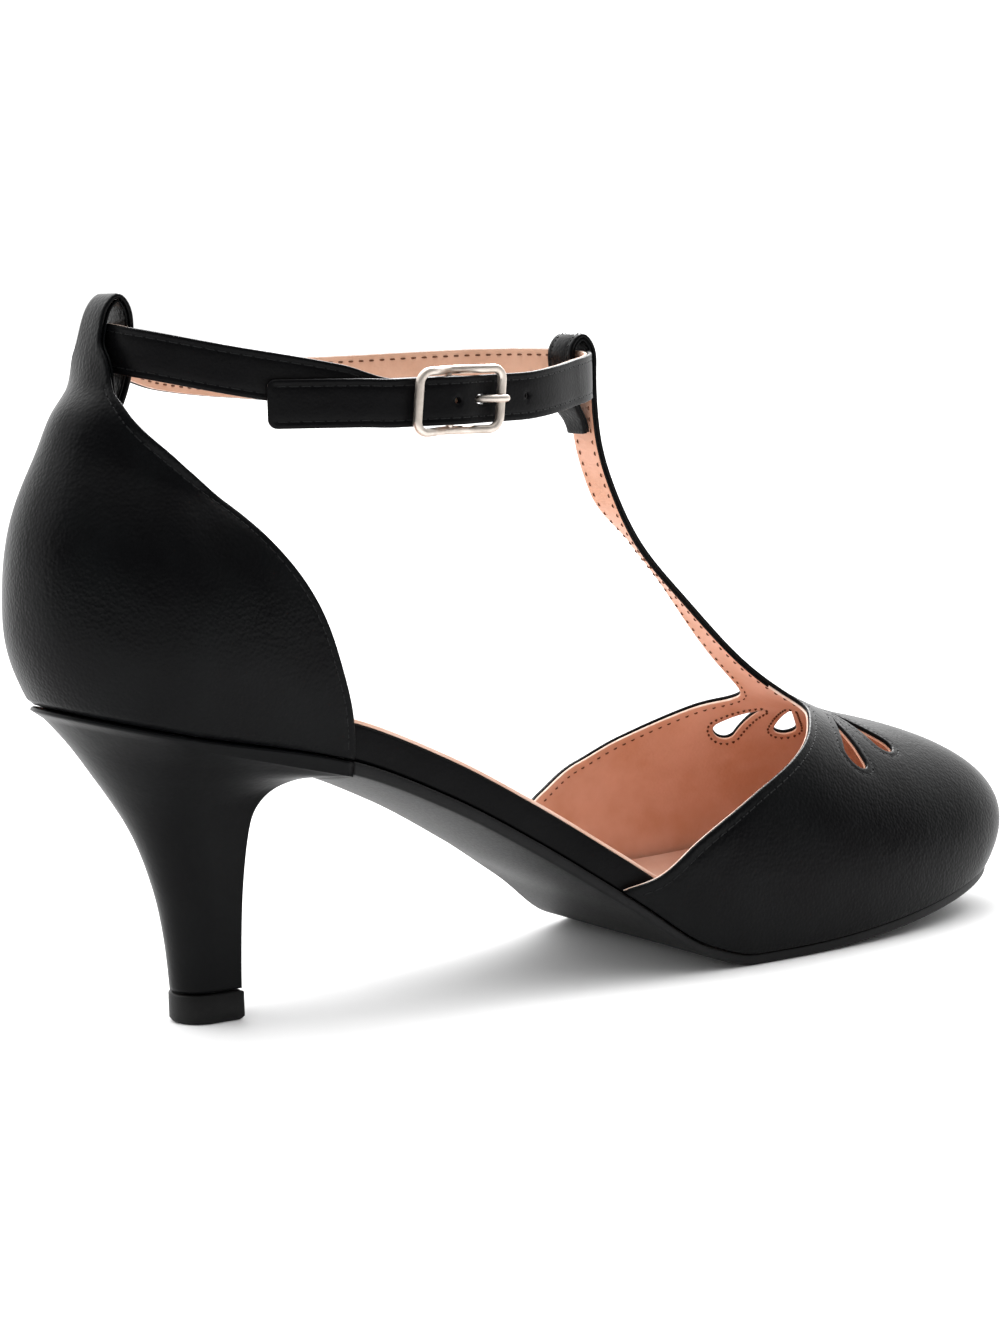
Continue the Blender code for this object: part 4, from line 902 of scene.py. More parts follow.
def strap_line():
    """Middle of the ankle strap: points by length, outward normals, and places on it.

    It runs back from its stitched end, round the bar, round the heel and the T-loop,
    over itself through the buckle, and ends in its free tip.
    """
    layer = STRAP_THICKNESS + GAP
    per_degree = np.radians(1) * (THROAT_X - T_STRAP_RUN) / 2.35
    first = STRAP_ROWS[0, 0]

    def hump(turn):
        away = np.minimum(np.abs(turn - first), np.abs(turn - first + 360)) * per_degree
        return BUCKLE_HUMP * (1 - ease(away, 0, 0.42 * BUCKLE_LENGTH))

    back = np.linspace(first - STRAP_FOLD / per_degree, first, 60)
    spread = (2 * fold_radius() - layer) * (1 - ease((first - back) * per_degree, 0, 0.008))
    inner = strap_ellipse(back, hump(back) - layer - spread)[0]
    centre, along, up, out = buckle_place()
    sweep = np.linspace(-np.pi / 2, np.pi / 2, 40)[1:-1, None]
    turn_round = (centre + fold_radius() * (along * np.cos(sweep) + out * np.sin(sweep)))[:, :2]
    turn = np.linspace(first, STRAP_ROWS[-1, 0], 2400)
    offset = hump(turn) + layer * ease(-turn, 400, 426)
    outer = strap_ellipse(turn, offset)[0]
    rise = smooth_curve(-turn, -STRAP_ROWS[:, 0], STRAP_ROWS[:, 1])
    rise = np.r_[np.full(len(back) + len(turn_round), STRAP_ROWS[0, 1]), rise]
    plan = np.vstack([inner, turn_round, outer])
    line = np.column_stack([plan, STRAP_FRONT_HEIGHT + rise * STRAP_RISE])
    length = np.r_[0, np.cumsum(np.linalg.norm(np.diff(line, axis=0), axis=1))]
    ahead = np.gradient(plan, axis=0)
    ahead /= np.linalg.norm(ahead, axis=1)[:, None]
    normal = np.stack([-ahead[:, 1], ahead[:, 0], 0 * length], 1)
    fold_middle = (length[len(back)] + length[len(back) + len(turn_round)]) / 2
    over = len(back) + len(turn_round) + np.argmin(np.abs(turn - first + 360))
    return length, line, normal, fold_middle, length[over]


def strap_surface(pattern):
    """Outer face of the ankle strap: length along it and place across it."""
    length, line, normal, fold_middle, over = strap_line()
    p, q = pattern.T
    middle = np.stack([np.interp(p, length, line[:, i]) for i in range(3)], 1)
    out = np.stack([np.interp(p, length, normal[:, i]) for i in range(3)], 1)
    out /= np.linalg.norm(out, axis=1)[:, None]
    return middle + out * STRAP_THICKNESS / 2 + np.outer(q, (0, 0, 1))


def ellipse(middle, half_long, half_wide, count):
    """An oval hole."""
    t = np.arange(count) * 2 * np.pi / count
    return np.stack([middle + half_long * np.cos(t), half_wide * np.sin(t)], 1)


def strap_layout():
    """The ankle strap's pattern with its seams: net, seams."""
    length, line, normal, fold_middle, over = strap_line()
    fold = np.pi * fold_radius() / 2
    end = length[-1]
    p = np.unique(np.r_[np.arange(0, fold_middle - fold, 0.001),
                        np.arange(fold_middle - fold, fold_middle + fold, 0.00035),
                        np.arange(fold_middle + fold, end - 0.0017, 0.001)])
    half = STRAP_WIDTH / 2 - 0.0002
    corner = 0.0016
    f = np.linspace(0, np.pi / 2, 7)
    tip = np.stack([end - corner + corner * np.sin(f), -half + corner * (1 - np.cos(f))], 1)
    lower = np.vstack([np.stack([p, 0 * p - half], 1), tip])
    border = np.vstack([lower, (lower * (1, -1))[::-1]])
    slot = ellipse(fold_middle, fold + 0.0018, PRONG_WIRE / 2 + 2 * GAP, 40)
    prong_hole = over - PRONG_HOLE_AHEAD
    holes = [slot, ellipse(prong_hole, PRONG_WIRE + 2 * GAP, PRONG_WIRE / 2 + 1.5 * GAP, 24)]
    for place in (-2, -1, 1):
        holes.append(ellipse(prong_hole + place * HOLE_SPACING, HOLE_RADIUS, HOLE_RADIUS, 20))
    seams = []
    for side in (-1, 1):
        q = side * (half - 0.0012)
        run = np.arange(fold_middle + fold + 0.006, end - 0.0012, 0.001)
        seams.append((np.stack([run, 0 * run + q], 1), False))
    q = np.linspace(-half, half, 11)[1:-1]
    fill = np.stack(np.meshgrid(p, q, indexing="ij"), 2).reshape(-1, 2)
    fill = np.vstack([fill] + [seam_rows(path, closed) for path, closed in seams])
    return flat_net(border, holes, fill, 0.00025), seams


def frame_reach():
    """How far the buckle's end bars stand out from its centre bar."""
    layer = STRAP_THICKNESS + GAP
    return (layer + STRAP_THICKNESS / 2 + GAP + BUCKLE_WIRE / 2 - BUCKLE_HUMP + fold_radius())


def tube(path, radius, closed_path, across_hint, sides=20, power=2.0, flat=1.0):
    """A bar along a path. Its section is a superellipse |u|^n + |v|^n = 1."""
    if closed_path:
        ahead = np.roll(path, -1, axis=0) - np.roll(path, 1, axis=0)
    else:
        ahead = np.gradient(path, axis=0)
    ahead /= np.linalg.norm(ahead, axis=1)[:, None]
    across = np.cross(ahead, across_hint)
    across /= np.linalg.norm(across, axis=1)[:, None]
    third = np.cross(across, ahead)
    t = np.arange(sides) * 2 * np.pi / sides
    u = np.sign(np.cos(t)) * np.abs(np.cos(t))**(2 / power)
    v = np.sign(np.sin(t)) * np.abs(np.sin(t))**(2 / power) * flat
    radius = np.broadcast_to(radius, len(path))[:, None, None]
    return path[:, None] + radius * (across[:, None] * u[:, None] + third[:, None] * v[:, None])


def buckle_frame_shape():
    """The buckle's frame: a bowed rectangle with round corners, leaning with the strap."""
    centre, along, up, out = buckle_place()
    half_long = (BUCKLE_LENGTH - BUCKLE_WIRE) / 2
    half_wide = STRAP_WIDTH / 2 + BUCKLE_CLEARANCE + BUCKLE_WIRE / 2
    turn = np.radians(np.linspace(0, 90, 12))
    corner = BUCKLE_CORNER * np.stack([np.cos(turn), np.sin(turn)], 1)
    quarter = corner + (half_long - BUCKLE_CORNER, half_wide - BUCKLE_CORNER)
    rail = np.linspace(1, 0, 14)[1:, None] * (half_long - BUCKLE_CORNER, 0) + (0, half_wide)
    side = np.linspace(0, 1, 8)[:-1, None] * (0, half_wide - BUCKLE_CORNER) + (half_long, 0)
    quarter = np.vstack([side, quarter, rail])
    half = np.vstack([quarter, (quarter * (-1, 1))[-2::-1]])
    ring = np.vstack([half, (half * (1, -1))[-2:0:-1]])
    bow = frame_reach() * ease(np.abs(ring[:, :1]), 0, half_long - BUCKLE_CORNER)
    lean = BUCKLE_LEAN * ring[:, 1:]
    path = centre + (ring[:, :1] + lean) * along + ring[:, 1:] * up + bow * out
    rings = tube(path, BUCKLE_WIRE / 2, True, out, 20, 2.6)
    return np.concatenate([rings, rings[:1]])


def prong_shape():
    """Prong: an eye round the centre bar, up through the strap, resting on the far bar."""
    centre, along, up, out = buckle_place()
    half_long = (BUCKLE_LENGTH - BUCKLE_WIRE) / 2
    eye = BUCKLE_WIRE / 2 + GAP + PRONG_WIRE / 2
    rest = frame_reach() + BUCKLE_WIRE / 2 + GAP + PRONG_WIRE / 2
    turn = np.radians(np.linspace(-95, 5, 6))
    hook = eye * np.stack([np.cos(turn), np.sin(turn)], 1)
    arm = np.array([(0.68 * PRONG_HOLE_AHEAD, 0.13 * rest), (PRONG_HOLE_AHEAD, 0.41 * rest),
                    (1.25 * PRONG_HOLE_AHEAD, 0.74 * rest), (0.82 * half_long, 0.96 * rest),
                    (half_long, rest), (1.07 * half_long, 0.985 * rest)])
    plan = fine_curve(np.vstack([hook, arm]), 0.00035)
    path = centre + plan[:, :1] * along + plan[:, 1:] * out
    reach = np.linspace(0, 1, len(path))
    radius = PRONG_WIRE / 2 * (1 - 0.5 * np.clip((reach - 0.94) / 0.06, 0, 1)**2)
    return tube(path, radius, False, up, 16, 2.3)


def stitches(surface, depth, facing, seams, pitch, length, radius):
    """A row of threads along each seam: small arched bars, one for each stitch.

    Along a stitch u runs from -1 to 1. Its middle lies at lift * (1 - u^2) above the
    leather and its radius is radius * sqrt(1 - 0.8 u^4).
    """
    centres = []
    ways = []
    for path, closed in seams:
        ring = np.vstack([path, path[:1]]) if closed else path
        place = surface(ring)
        run = np.r_[0, np.cumsum(np.linalg.norm(np.diff(place, axis=0), axis=1))]
        count = max(1, int(run[-1] / pitch))
        middle = (np.arange(count) + 0.5) * run[-1] / count
        centres.append(np.stack([np.interp(middle, run, ring[:, i]) for i in (0, 1)], 1))
        ends = [np.stack([np.interp(middle + e, run, ring[:, i]) for i in (0, 1)], 1)
                for e in (-length / 4, length / 4)]
        ways.append(surface(ends[1]) - surface(ends[0]))
    middle = np.vstack(centres)
    ahead = np.vstack(ways)
    ahead /= np.linalg.norm(ahead, axis=1)[:, None]
    normal = outward(surface, middle, facing)
    across = np.cross(normal, ahead)
    base = surface(middle) - normal * depth
    if depth > 0:
        normal = -normal
    u = np.linspace(-1, 1, 7)
    f = np.arange(6) * np.pi / 3
    lift = radius * (0.9 - 1.1 * u**2)
    thick = radius * np.sqrt(1 - 0.8 * u**4)
    spine = (base[:, None] + ahead[:, None] * (u * length / 2)[:, None]
             + normal[:, None] * lift[:, None])
    ring = (across[:, None, None] * np.cos(f)[:, None] + normal[:, None, None] * np.sin(f)[:, None])
    points = spine[:, :, None] + ring * thick[:, None, None]
    count = len(middle)
    number = np.arange(count * 42).reshape(count, 7, 6)
    a, b = number[:, :-1], number[:, 1:]
    quads = np.stack([a, np.roll(a, -1, axis=2), np.roll(b, -1, axis=2), b], 3).reshape(-1, 4)
    caps = np.vstack([number[:, 0], number[:, -1]])
    return points.reshape(-1, 3), quads.tolist() + caps.tolist()


def joined(parts):
    """Several sets of points and faces as one."""
    points = []
    faces = []
    first = 0
    for some, more in parts:
        points.append(some)
        faces += [[corner + first for corner in face] for face in more]
        first += len(some)
    return np.vstack(points), faces


def linear(hex_colour):
    """An sRGB hex colour as the linear colour that a shader wants."""
    value = np.array([int(hex_colour[i:i + 2], 16) for i in (1, 3, 5)]) / 255
    value = np.where(value <= 0.04045, value / 12.92, ((value + 0.055) / 1.055)**2.4)
    return (*value.tolist(), 1.0)


def add(tree, kind, settings, **links):
    """A node with its settings, and links to its inputs by their names with _ for spaces."""
    node = tree.nodes.new(kind)
    for name, value in settings.items():
        if name[1:].isdigit():
            node.inputs[int(name[1:])].default_value = value
        elif name in node.inputs:
            node.inputs[name].default_value = value
        else:
            setattr(node, name, value)
    for name, source in links.items():
        key = int(name[1:]) if name[1:].isdigit() else name.replace("_", " ")
        tree.links.new(source, node.inputs[key])
    return node


def finish_of(name, colour, settings):
    """A new material with its shader: tree, shader and object coordinates."""
    finish = bpy.data.materials.new(name)
    finish.use_nodes = True
    tree = finish.node_tree
    shader = tree.nodes["Principled BSDF"]
    shader.inputs["Base Color"].default_value = linear(colour)
    for key, value in settings.items():
        shader.inputs[key].default_value = value
    place = add(tree, "ShaderNodeTexCoord", {}).outputs["Object"]
    return finish, tree, shader, place


def tone(tree, place, size_mm, dark, light, low=0.35, high=0.65, detail=4.0):
    """A soft change between two colours in patches of a real size."""
    noise = add(tree, "ShaderNodeTexNoise", {"Scale": 1000 / size_mm, "Detail": detail},
                Vector=place)
    share = add(tree, "ShaderNodeMapRange", {"From Min": low, "From Max": high},
                Value=noise.outputs["Fac"])
    return add(tree, "ShaderNodeMix", {"data_type": "RGBA", "A": linear(dark), "B": linear(light)},
               Factor=share.outputs["Result"])


def leather(name, dark, light, roughness, grain_mm, grain_depth_mm, specular, coat):
    """Smooth coated leather: pebbles of a fine grain, faint long creases, a satin top coat.

    To the eye it is near black with broad soft highlights that break up a little on the
    grain. The grain is drawn at two or three times its real 0.2 to 0.3 mm, so that it
    shows at this distance.
    """
    finish, tree, shader, place = finish_of(name, dark, {
        "IOR": 1.47, "Specular IOR Level": specular, "Coat Weight": coat,
        "Coat Roughness": 0.32, "Coat IOR": 1.45})
    colour = tone(tree, place, 14.0, dark, light)
    tree.links.new(colour.outputs["Result"], shader.inputs["Base Color"])
    pebble = add(tree, "ShaderNodeTexVoronoi", {
        "feature": "SMOOTH_F1", "Scale": 1000 / grain_mm, "Smoothness": 0.6}, Vector=place)
    crease = add(tree, "ShaderNodeTexNoise", {"Scale": 1000 / 7.0, "Detail": 6.0,
                                              "Roughness": 0.55, "Distortion": 0.4},
                 Vector=place)
    wave = add(tree, "ShaderNodeBump", {"Strength": 0.55, "Distance": 0.00026},
               Height=crease.outputs["Fac"])
    bump = add(tree, "ShaderNodeBump", {"Strength": 0.6, "Distance": grain_depth_mm / 1000},
               Height=pebble.outputs["Distance"], Normal=wave.outputs["Normal"])
    tree.links.new(bump.outputs["Normal"], shader.inputs["Normal"])
    wear = add(tree, "ShaderNodeTexNoise", {"Scale": 1000 / 22.0, "Detail": 3.0}, Vector=place)
    gloss = add(tree, "ShaderNodeMapRange", {
        "From Min": 0.3, "From Max": 0.7, "To Min": roughness - 0.05, "To Max": roughness + 0.06},
        Value=wear.outputs["Fac"])
    tree.links.new(gloss.outputs["Result"], shader.inputs["Roughness"])
    return finish


def lining(name, dark, light, roughness=0.62):
    """Coated lining, undyed peach: matt, warm, with a fine pressed pore pattern."""
    finish, tree, shader, place = finish_of(name, dark, {
        "IOR": 1.45, "Specular IOR Level": 0.28, "Roughness": roughness,
        "Sheen Weight": 0.12, "Sheen Roughness": 0.5})
    colour = tone(tree, place, 11.0, dark, light)
    tree.links.new(colour.outputs["Result"], shader.inputs["Base Color"])
    pore = add(tree, "ShaderNodeTexVoronoi", {"feature": "SMOOTH_F1", "Scale": 1000 / 0.8,
                                              "Smoothness": 0.4}, Vector=place)
    soft = add(tree, "ShaderNodeTexNoise", {"Scale": 1000 / 7.0, "Detail": 4.0}, Vector=place)
    wave = add(tree, "ShaderNodeBump", {"Strength": 0.4, "Distance": 0.0003},
               Height=soft.outputs["Fac"])
    bump = add(tree, "ShaderNodeBump", {"Strength": 0.5, "Distance": 0.00006},
               Height=pore.outputs["Distance"], Normal=wave.outputs["Normal"])
    tree.links.new(bump.outputs["Normal"], shader.inputs["Normal"])
    return finish


def raw_edge(name, dark, light):
    """Cut edge of the lining: pale, dry and fibrous, so it reads as a thin light line."""
    finish, tree, shader, place = finish_of(name, dark, {
        "IOR": 1.45, "Specular IOR Level": 0.15, "Roughness": 0.85})
    colour = tone(tree, place, 1.6, dark, light)
    tree.links.new(colour.outputs["Result"], shader.inputs["Base Color"])
    fibre = add(tree, "ShaderNodeTexNoise", {"Scale": 1000 / 0.5, "Detail": 3.0}, Vector=place)
    bump = add(tree, "ShaderNodeBump", {"Strength": 0.5, "Distance": 0.0001},
               Height=fibre.outputs["Fac"])
    tree.links.new(bump.outputs["Normal"], shader.inputs["Normal"])
    return finish


def rubber(name, dark, light, roughness):
    """Moulded rubber: matt black, slightly greyer where it is scuffed, with a fine tooth."""
    finish, tree, shader, place = finish_of(name, dark, {"IOR": 1.50, "Specular IOR Level": 0.2})
    colour = tone(tree, place, 6.0, dark, light)
    tree.links.new(colour.outputs["Result"], shader.inputs["Base Color"])
    tooth = add(tree, "ShaderNodeTexNoise", {"Scale": 1000 / 0.7, "Detail": 4.0}, Vector=place)
    bump = add(tree, "ShaderNodeBump", {"Strength": 0.4, "Distance": 0.00008},
               Height=tooth.outputs["Fac"])
    tree.links.new(bump.outputs["Normal"], shader.inputs["Normal"])
    gloss = add(tree, "ShaderNodeMapRange", {"To Min": roughness - 0.08, "To Max": roughness + 0.08},
                Value=tooth.outputs["Fac"])
    tree.links.new(gloss.outputs["Result"], shader.inputs["Roughness"])
    return finish


def nickel(name):
    """Nickel plated zinc casting, tumbled: bright warm grey, softly dulled in patches."""
    finish, tree, shader, place = finish_of(name, "#c9c0b7", {"Metallic": 1.0})
    colour = tone(tree, place, 3.0, "#b9afa5", "#d6cdc4")
    tree.links.new(colour.outputs["Result"], shader.inputs["Base Color"])
    dull = add(tree, "ShaderNodeTexNoise", {"Scale": 1000 / 1.8, "Detail": 5.0}, Vector=place)
    gloss = add(tree, "ShaderNodeMapRange", {"To Min": 0.34, "To Max": 0.56},
                Value=dull.outputs["Fac"])
    tree.links.new(gloss.outputs["Result"], shader.inputs["Roughness"])
    bump = add(tree, "ShaderNodeBump", {"Strength": 0.25, "Distance": 0.00005},
               Height=dull.outputs["Fac"])
    tree.links.new(bump.outputs["Normal"], shader.inputs["Normal"])
    return finish


def thread(name, dark, light):
    """Bonded polyester thread: a fine twist, a little lighter and glossier than leather."""
    finish, tree, shader, place = finish_of(name, dark, {
        "IOR": 1.5, "Specular IOR Level": 0.16, "Roughness": 0.5})
    colour = tone(tree, place, 0.6, dark, light)
    tree.links.new(colour.outputs["Result"], shader.inputs["Base Color"])
    twist = add(tree, "ShaderNodeTexWave", {"Scale": 1000 / 0.5, "Distortion": 1.0}, Vector=place)
    bump = add(tree, "ShaderNodeBump", {"Strength": 0.5, "Distance": 0.00005},
               Height=twist.outputs["Fac"])
    tree.links.new(bump.outputs["Normal"], shader.inputs["Normal"])
    return finish


def painted_floor(name):
    """Matt white studio floor: pale and even, with a barely seen mottle."""
    finish, tree, shader, place = finish_of(name, "#f4f4f4", {
        "IOR": 1.3, "Specular IOR Level": 0.0, "Roughness": 0.9})
    colour = tone(tree, place, 80.0, "#f2f2f2", "#f7f7f7")
    tree.links.new(colour.outputs["Result"], shader.inputs["Base Color"])
    return finish


def dress():
    """Every visible piece of the shoe."""
    black = leather("Black smooth coated leather", "#040405", "#08090a", 0.36, 0.75, 0.12, 0.07, 0.03)
    strap_black = leather("Black strap leather", "#040405", "#080809", 0.42, 0.6, 0.05, 0.07, 0.02)
    heel_black = leather("Black wrapped heel leather", "#030304", "#060708", 0.36, 0.9, 0.025, 0.08, 0.03)
    sole_black = rubber("Black moulded rubber sole", "#070708", "#0c0c0d", 0.50)
    tip_black = rubber("Black heel tip rubber", "#080808", "#0e0e0e", 0.5)
    peach = lining("Peach lining", "#ce9b80", "#d9aa94")
    strap_peach = lining("Peach strap lining", "#c39980", "#d0a78f")
    sock_peach = lining("Peach sock lining", "#d6ad97", "#e1bfad")
    edge = raw_edge("Pale cut lining edge", "#dcbcaa", "#efdccf")
    metal = nickel("Tumbled nickel plate")
    black_thread = thread("Black thread", "#08090a", "#121314")
    brown_thread = thread("Brown thread", "#4a2e20", "#6d4630")

    net, seams = vamp_layout()
    dip = groove(net[0], seams)
    points, faces, rim = shell(vamp_surface, net, dip, LEATHER_WALL, 1, 0.00030)
    make("vamp_leather", points, faces, [black], "leather", ["upper_vamp"])
    at, start, end = t_strap_line()
    loop_start = THROAT_X - (end - start) + T_LOOP_LINED
    points, faces, rim = shell(vamp_surface, net, LEATHER_WALL + 0.00003, UPPER_WALL, 1, 0.00012,
                               dark=lambda place: place[:, 0] < loop_start,
                               dark_rim=lambda place: (place[:, 0] < THROAT_X - EDGE_PAINT_START)
                               & (np.abs(place[:, 1]) < T_STRAP_WIDTH))
    make("vamp_lining", points, faces, [peach, edge, black], "sock", rim=rim)
    outside = [stitches(vamp_surface, SEAM_DEPTH * 0.9, 1, seams, STITCH_PITCH, STITCH_LENGTH,
                        THREAD_RADIUS)]
    rows = [(path[path[:, 0] > loop_start], closed) for path, closed in seams[:2]]
    inside_rows = [stitches(vamp_surface, UPPER_WALL, 1, rows, STITCH_PITCH,
                            0.5 * STITCH_LENGTH, 0.8 * THREAD_RADIUS),
                   stitches(vamp_surface, UPPER_WALL, 1, seams[2:], 0.0016, 0.0007,
                            0.00026)]

    net, seams = counter_layout()
    dip = groove(net[0], seams) + 0.0006 * (1 - ease(net[0][:, 1], -0.0002, 0.0016))
    points, faces, rim = shell(counter_surface, net, dip, LEATHER_WALL + dip * 0.5, -1, 0.00030)
    make("counter_leather", points, faces, [black], "leather", ["upper_counter"])
    at, top, end = back_line()
    points, faces, rim = shell(counter_surface, net, LEATHER_WALL + 0.0004, UPPER_WALL + 0.0002,
                               -1, 0.00012, dark=lambda place: place[:, 1] > 0.97 * top)
    make("counter_lining", points, faces, [peach, edge, black], "sock", rim=rim)
    outside.append(stitches(counter_surface, SEAM_DEPTH * 0.9, -1, seams, STITCH_PITCH,
                            STITCH_LENGTH, THREAD_RADIUS))
    inside_rows.append(stitches(counter_surface, UPPER_WALL + 0.0002, -1, seams, STITCH_PITCH,
                                0.7 * STITCH_LENGTH, THREAD_RADIUS))

    net, seams = strap_layout()
    dip = groove(net[0], seams)
    points, faces, rim = shell(strap_surface, net, dip, STRAP_LEATHER, -1, 0.0002)
    make("strap_leather", points, faces, [strap_black], "leather", ["ankle_strap"])
    over = strap_line()[-1]
    # Round the buckle's holes the strap lining and the holes' walls take the black strap leather: painted
    # shade in the holes.
    points, faces, rim = shell(strap_surface, net, STRAP_LEATHER + 0.00002, STRAP_THICKNESS, -1,
                               0.0001, dark=lambda place: (np.abs(place[:, 1]) < 0.0016)
                               & (np.abs(place[:, 0] - over) < 0.022))
    make("strap_lining", points, faces, [strap_peach, edge, strap_black], "sock", rim=rim)
    outside.append(stitches(strap_surface, SEAM_DEPTH * 0.9, -1, seams, STITCH_PITCH,
                            STITCH_LENGTH, 0.00018))
    inside_rows.append(stitches(strap_surface, STRAP_THICKNESS, -1, seams, STITCH_PITCH,
                                0.6 * STITCH_LENGTH, 0.0002))
    make("outer_stitches", *joined(outside), [black_thread], "leather")
    make("lining_stitches", *joined(inside_rows), [brown_thread], "sock")

    sole_back = COUNTER_LENGTH + GAP
    bed = UPPER_WALL + 2 * GAP
    points, faces = slab(sole_back, OUTSOLE_INSET, lambda x, y: feather(x), sole_bottom,
                         0.0006, 0.0008)
    make("outsole_rubber", points, faces, [sole_black], "rubber", ["outsole"])
    cover = SOCK_THICKNESS - SOCK_SHEET
    points, faces = slab(0.0, bed, lambda x, y: footbed_top(x, y) + cushion(x, y) + cover,
                         lambda x, y: feather(x) + GAP, 0.0008, 0.0006)
    make("footbed_wrap", points, faces, [strap_black], "leather", ["footbed"])
    points, faces = slab(0.0, bed + SOCK_INSET,
                         lambda x, y: footbed_top(x, y) + cushion(x, y) + GAP + SOCK_THICKNESS,
                         lambda x, y: footbed_top(x, y) + cushion(x, y) + cover, 0.00025, 0.0001)
    make("sock_sheet", points, faces, [sock_peach], "sock", ["sock_lining"])

    make("heel_cover", *loft(heel_shape()), [heel_black], "heel_cover", ["heel"])
    make("heel_tip_block", *loft(heel_tip_shape()), [tip_black], "rubber", ["heel_tip"])

    frame_rings = buckle_frame_shape()
    points, faces = loft(frame_rings[:-1], False, False)
    last = (len(frame_rings) - 2) * 20 + np.arange(20)
    first = np.arange(20)
    faces += np.stack([last, np.roll(last, -1), np.roll(first, -1), first], 1).tolist()
    centre, along, up, out = buckle_place()
    reach = STRAP_WIDTH / 2 + BUCKLE_CLEARANCE + BUCKLE_WIRE / 2
    bar = centre + np.linspace(-1, 1, 12)[:, None] * up * reach
    bar_rings = tube(bar, BUCKLE_WIRE / 2 * 0.96, False, out, 16)
    make("buckle_ring", *joined([(points, faces), loft(bar_rings)]), [metal], "nickel",
         ["buckle_frame"])
    make("buckle_tongue", *loft(prong_shape()), [metal], "nickel", ["buckle_prong"])


def floor_disc():
    """A round floor: radius grows as a square, so that rings are fine near the shoe."""
    radius = 9.0 * np.linspace(0, 1, 24)[1:]**2
    turn = np.arange(48) * np.pi / 24
    rings = radius[:, None, None] * np.stack([np.cos(turn), np.sin(turn), 0 * turn], 1)
    points, faces = loft(rings - (0, 0, 0.00005), True, False)
    mesh = bpy.data.meshes.new("floor")
    mesh.from_pydata(points.tolist(), [], faces)
    mesh.materials.append(painted_floor("Matt white studio floor"))
    floor = bpy.data.objects.new("floor", mesh)
    bpy.context.scene.collection.objects.link(floor)


def lamp(name, place, aim, size, power, sheen_only):
    """A soft box that looks at a point; one that is only for sheen lights no matt surface."""
    light = bpy.data.lights.new(name, "AREA")
    light.shape = "RECTANGLE"
    light.size, light.size_y = size
    light.energy = power
    item = bpy.data.objects.new(name, light)
    bpy.context.scene.collection.objects.link(item)
    away = Vector(place) - Vector(aim)
    item.matrix_world = Matrix.Translation(place) @ away.to_track_quat("Z", "Y").to_matrix().to_4x4()
    item.visible_camera = False
    item.visible_diffuse = not sheen_only


# The white sweep stands behind the shoe as the camera sees it, and the camera's side is dark.
SWEEP = (0.50, 0.83, 0.25)
DARK_SIDE = 0.06
BRIGHT_SIDE = 2.2
CEILING = 1.25


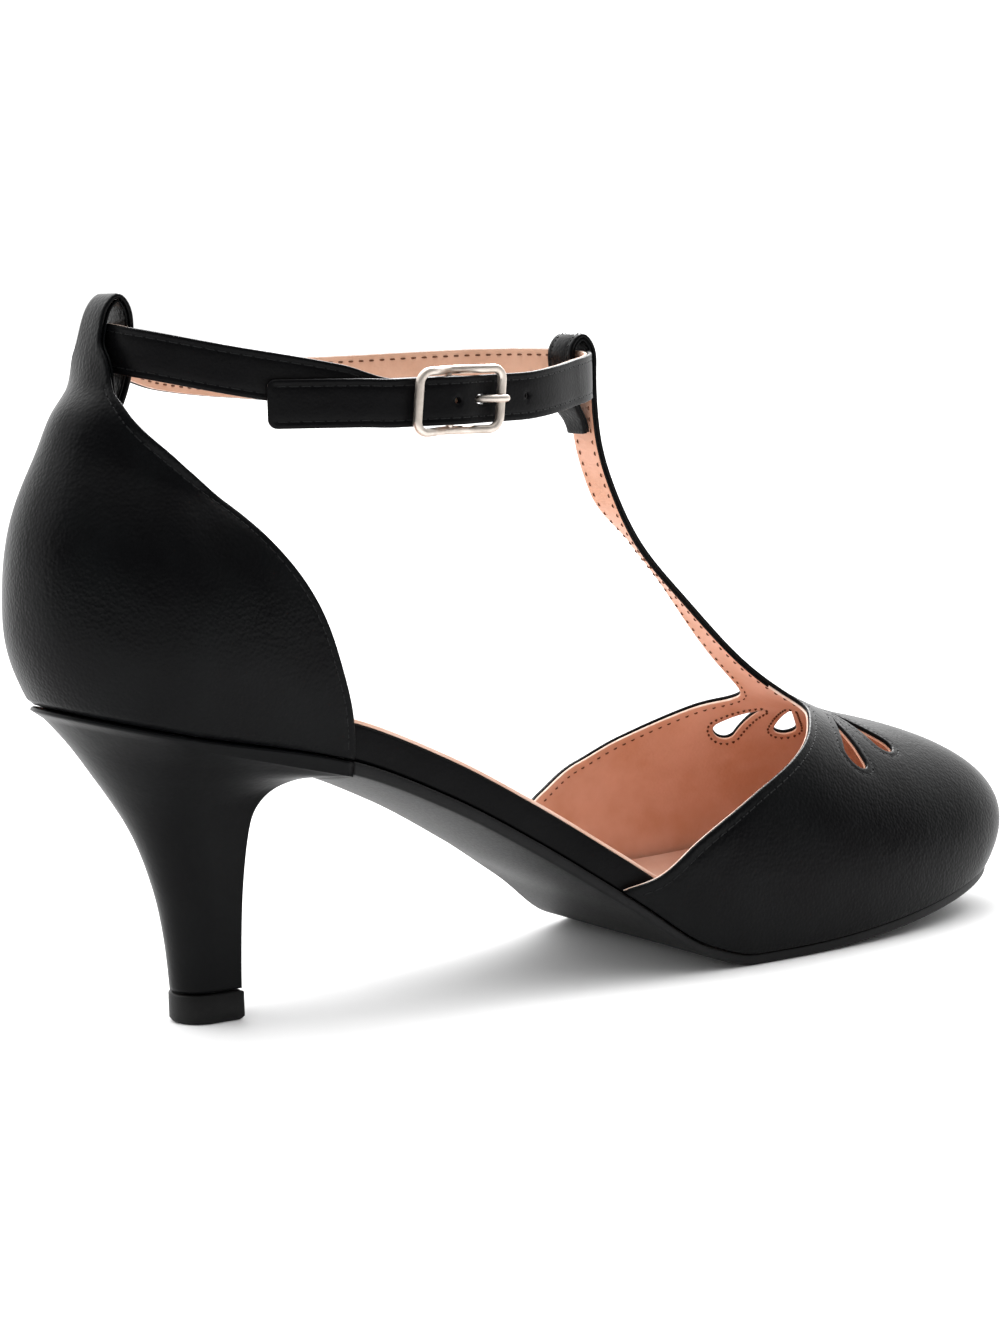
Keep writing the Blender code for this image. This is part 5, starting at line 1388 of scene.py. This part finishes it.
def light_studio():
    """Pale surroundings, one broad soft light from above and two soft boxes."""
    world = bpy.data.worlds.new("Studio")
    bpy.context.scene.world = world
    world.use_nodes = True
    tree = world.node_tree
    back = tree.nodes["Background"]
    back.inputs["Color"].default_value = (1, 1, 1, 1)
    way = add(tree, "ShaderNodeTexCoord", {}).outputs["Generated"]
    facing = add(tree, "ShaderNodeVectorMath", {"operation": "DOT_PRODUCT", "_1": SWEEP}, _0=way)
    bright = add(tree, "ShaderNodeMapRange", {"interpolation_type": "SMOOTHSTEP", "From Min": -0.1,
                                              "From Max": 0.8, "To Min": DARK_SIDE, "To Max": BRIGHT_SIDE},
                 Value=facing.outputs["Value"])
    height = add(tree, "ShaderNodeSeparateXYZ", {}, Vector=way)
    above = add(tree, "ShaderNodeMapRange", {"interpolation_type": "SMOOTHSTEP", "From Min": 0.45,
                                             "From Max": 0.95, "To Min": 0.0, "To Max": CEILING},
                Value=height.outputs["Z"])
    both = add(tree, "ShaderNodeMath", {"operation": "ADD"}, _0=bright.outputs["Result"],
               _1=above.outputs["Result"])
    tree.links.new(both.outputs["Value"], back.inputs["Strength"])
    seen = add(tree, "ShaderNodeBackground", {"Color": (1, 1, 1, 1), "Strength": 1.1})
    path = add(tree, "ShaderNodeLightPath", {})
    mixed = add(tree, "ShaderNodeMixShader", {}, _0=path.outputs["Is Camera Ray"],
                _1=back.outputs[0], _2=seen.outputs[0])
    tree.links.new(mixed.outputs[0], tree.nodes["World Output"].inputs["Surface"])
    for name, side, energy, spread in (("Overhead", (-0.1, 0.4, 1), 0.8, 60),
                                       ("Fill", (-0.3, -0.3, 1), 1.4, 150)):
        sky = bpy.data.lights.new(name, "SUN")
        sky.energy = energy
        sky.angle = np.radians(spread)
        item = bpy.data.objects.new(name, sky)
        bpy.context.scene.collection.objects.link(item)
        item.matrix_world = Vector(side).to_track_quat("Z", "Y").to_matrix().to_4x4()
        item.visible_glossy = name != "Fill"
    lamp("Left box", (-0.8, 0.4, 0.4), (-0.08, 0, 0.05), (0.4, 0.8), 1.4, False)
    lamp("Toe box", (0.5, 0.5, 0.8), (0.08, 0, 0.03), (0.6, 0.6), 30.0, True)
    bpy.context.scene.view_settings.view_transform = "Standard"


# Camera, from the photograph: turn from the side, tilt, roll, distance and pixels per metre.
TURN = np.radians(32.4)
TILT = np.radians(7.04)
ROLL = np.radians(-1.7)
DISTANCE = 0.660
PIXELS_PER_METRE = 4654.0
PHOTO_SIZE = np.array((1000, 1333))
TARGET = np.array((-0.008345, -0.001494, 0.060))
TARGET_PIXEL = np.array((507.3, 691.15))


def place_camera():
    """The camera at the photograph's angle, for a 1000 by 1333 picture."""
    back = np.array((-np.sin(TURN) * np.cos(TILT), -np.cos(TURN) * np.cos(TILT), np.sin(TILT)))
    level = np.array((np.cos(TURN), -np.sin(TURN), 0.0))
    upright = np.cross(level, -back)
    right = level * np.cos(ROLL) + upright * np.sin(ROLL)
    up = upright * np.cos(ROLL) - level * np.sin(ROLL)
    aside = (TARGET_PIXEL - PHOTO_SIZE / 2) / PIXELS_PER_METRE
    place = TARGET + back * DISTANCE - right * aside[0] + up * aside[1]
    data = bpy.data.cameras.new("Camera")
    data.sensor_fit = "VERTICAL"
    data.sensor_height = 36.0
    data.lens = 36.0 * PIXELS_PER_METRE * DISTANCE / PHOTO_SIZE[1]
    data.clip_start = 0.01
    camera = bpy.data.objects.new("Camera", data)
    bpy.context.scene.collection.objects.link(camera)
    matrix = np.eye(4)
    matrix[:3, 0] = right
    matrix[:3, 1] = up
    matrix[:3, 2] = back
    matrix[:3, 3] = place
    camera.matrix_world = Matrix(matrix.tolist())
    bpy.context.scene.camera = camera


place_camera()
dress()
floor_disc()
light_studio()
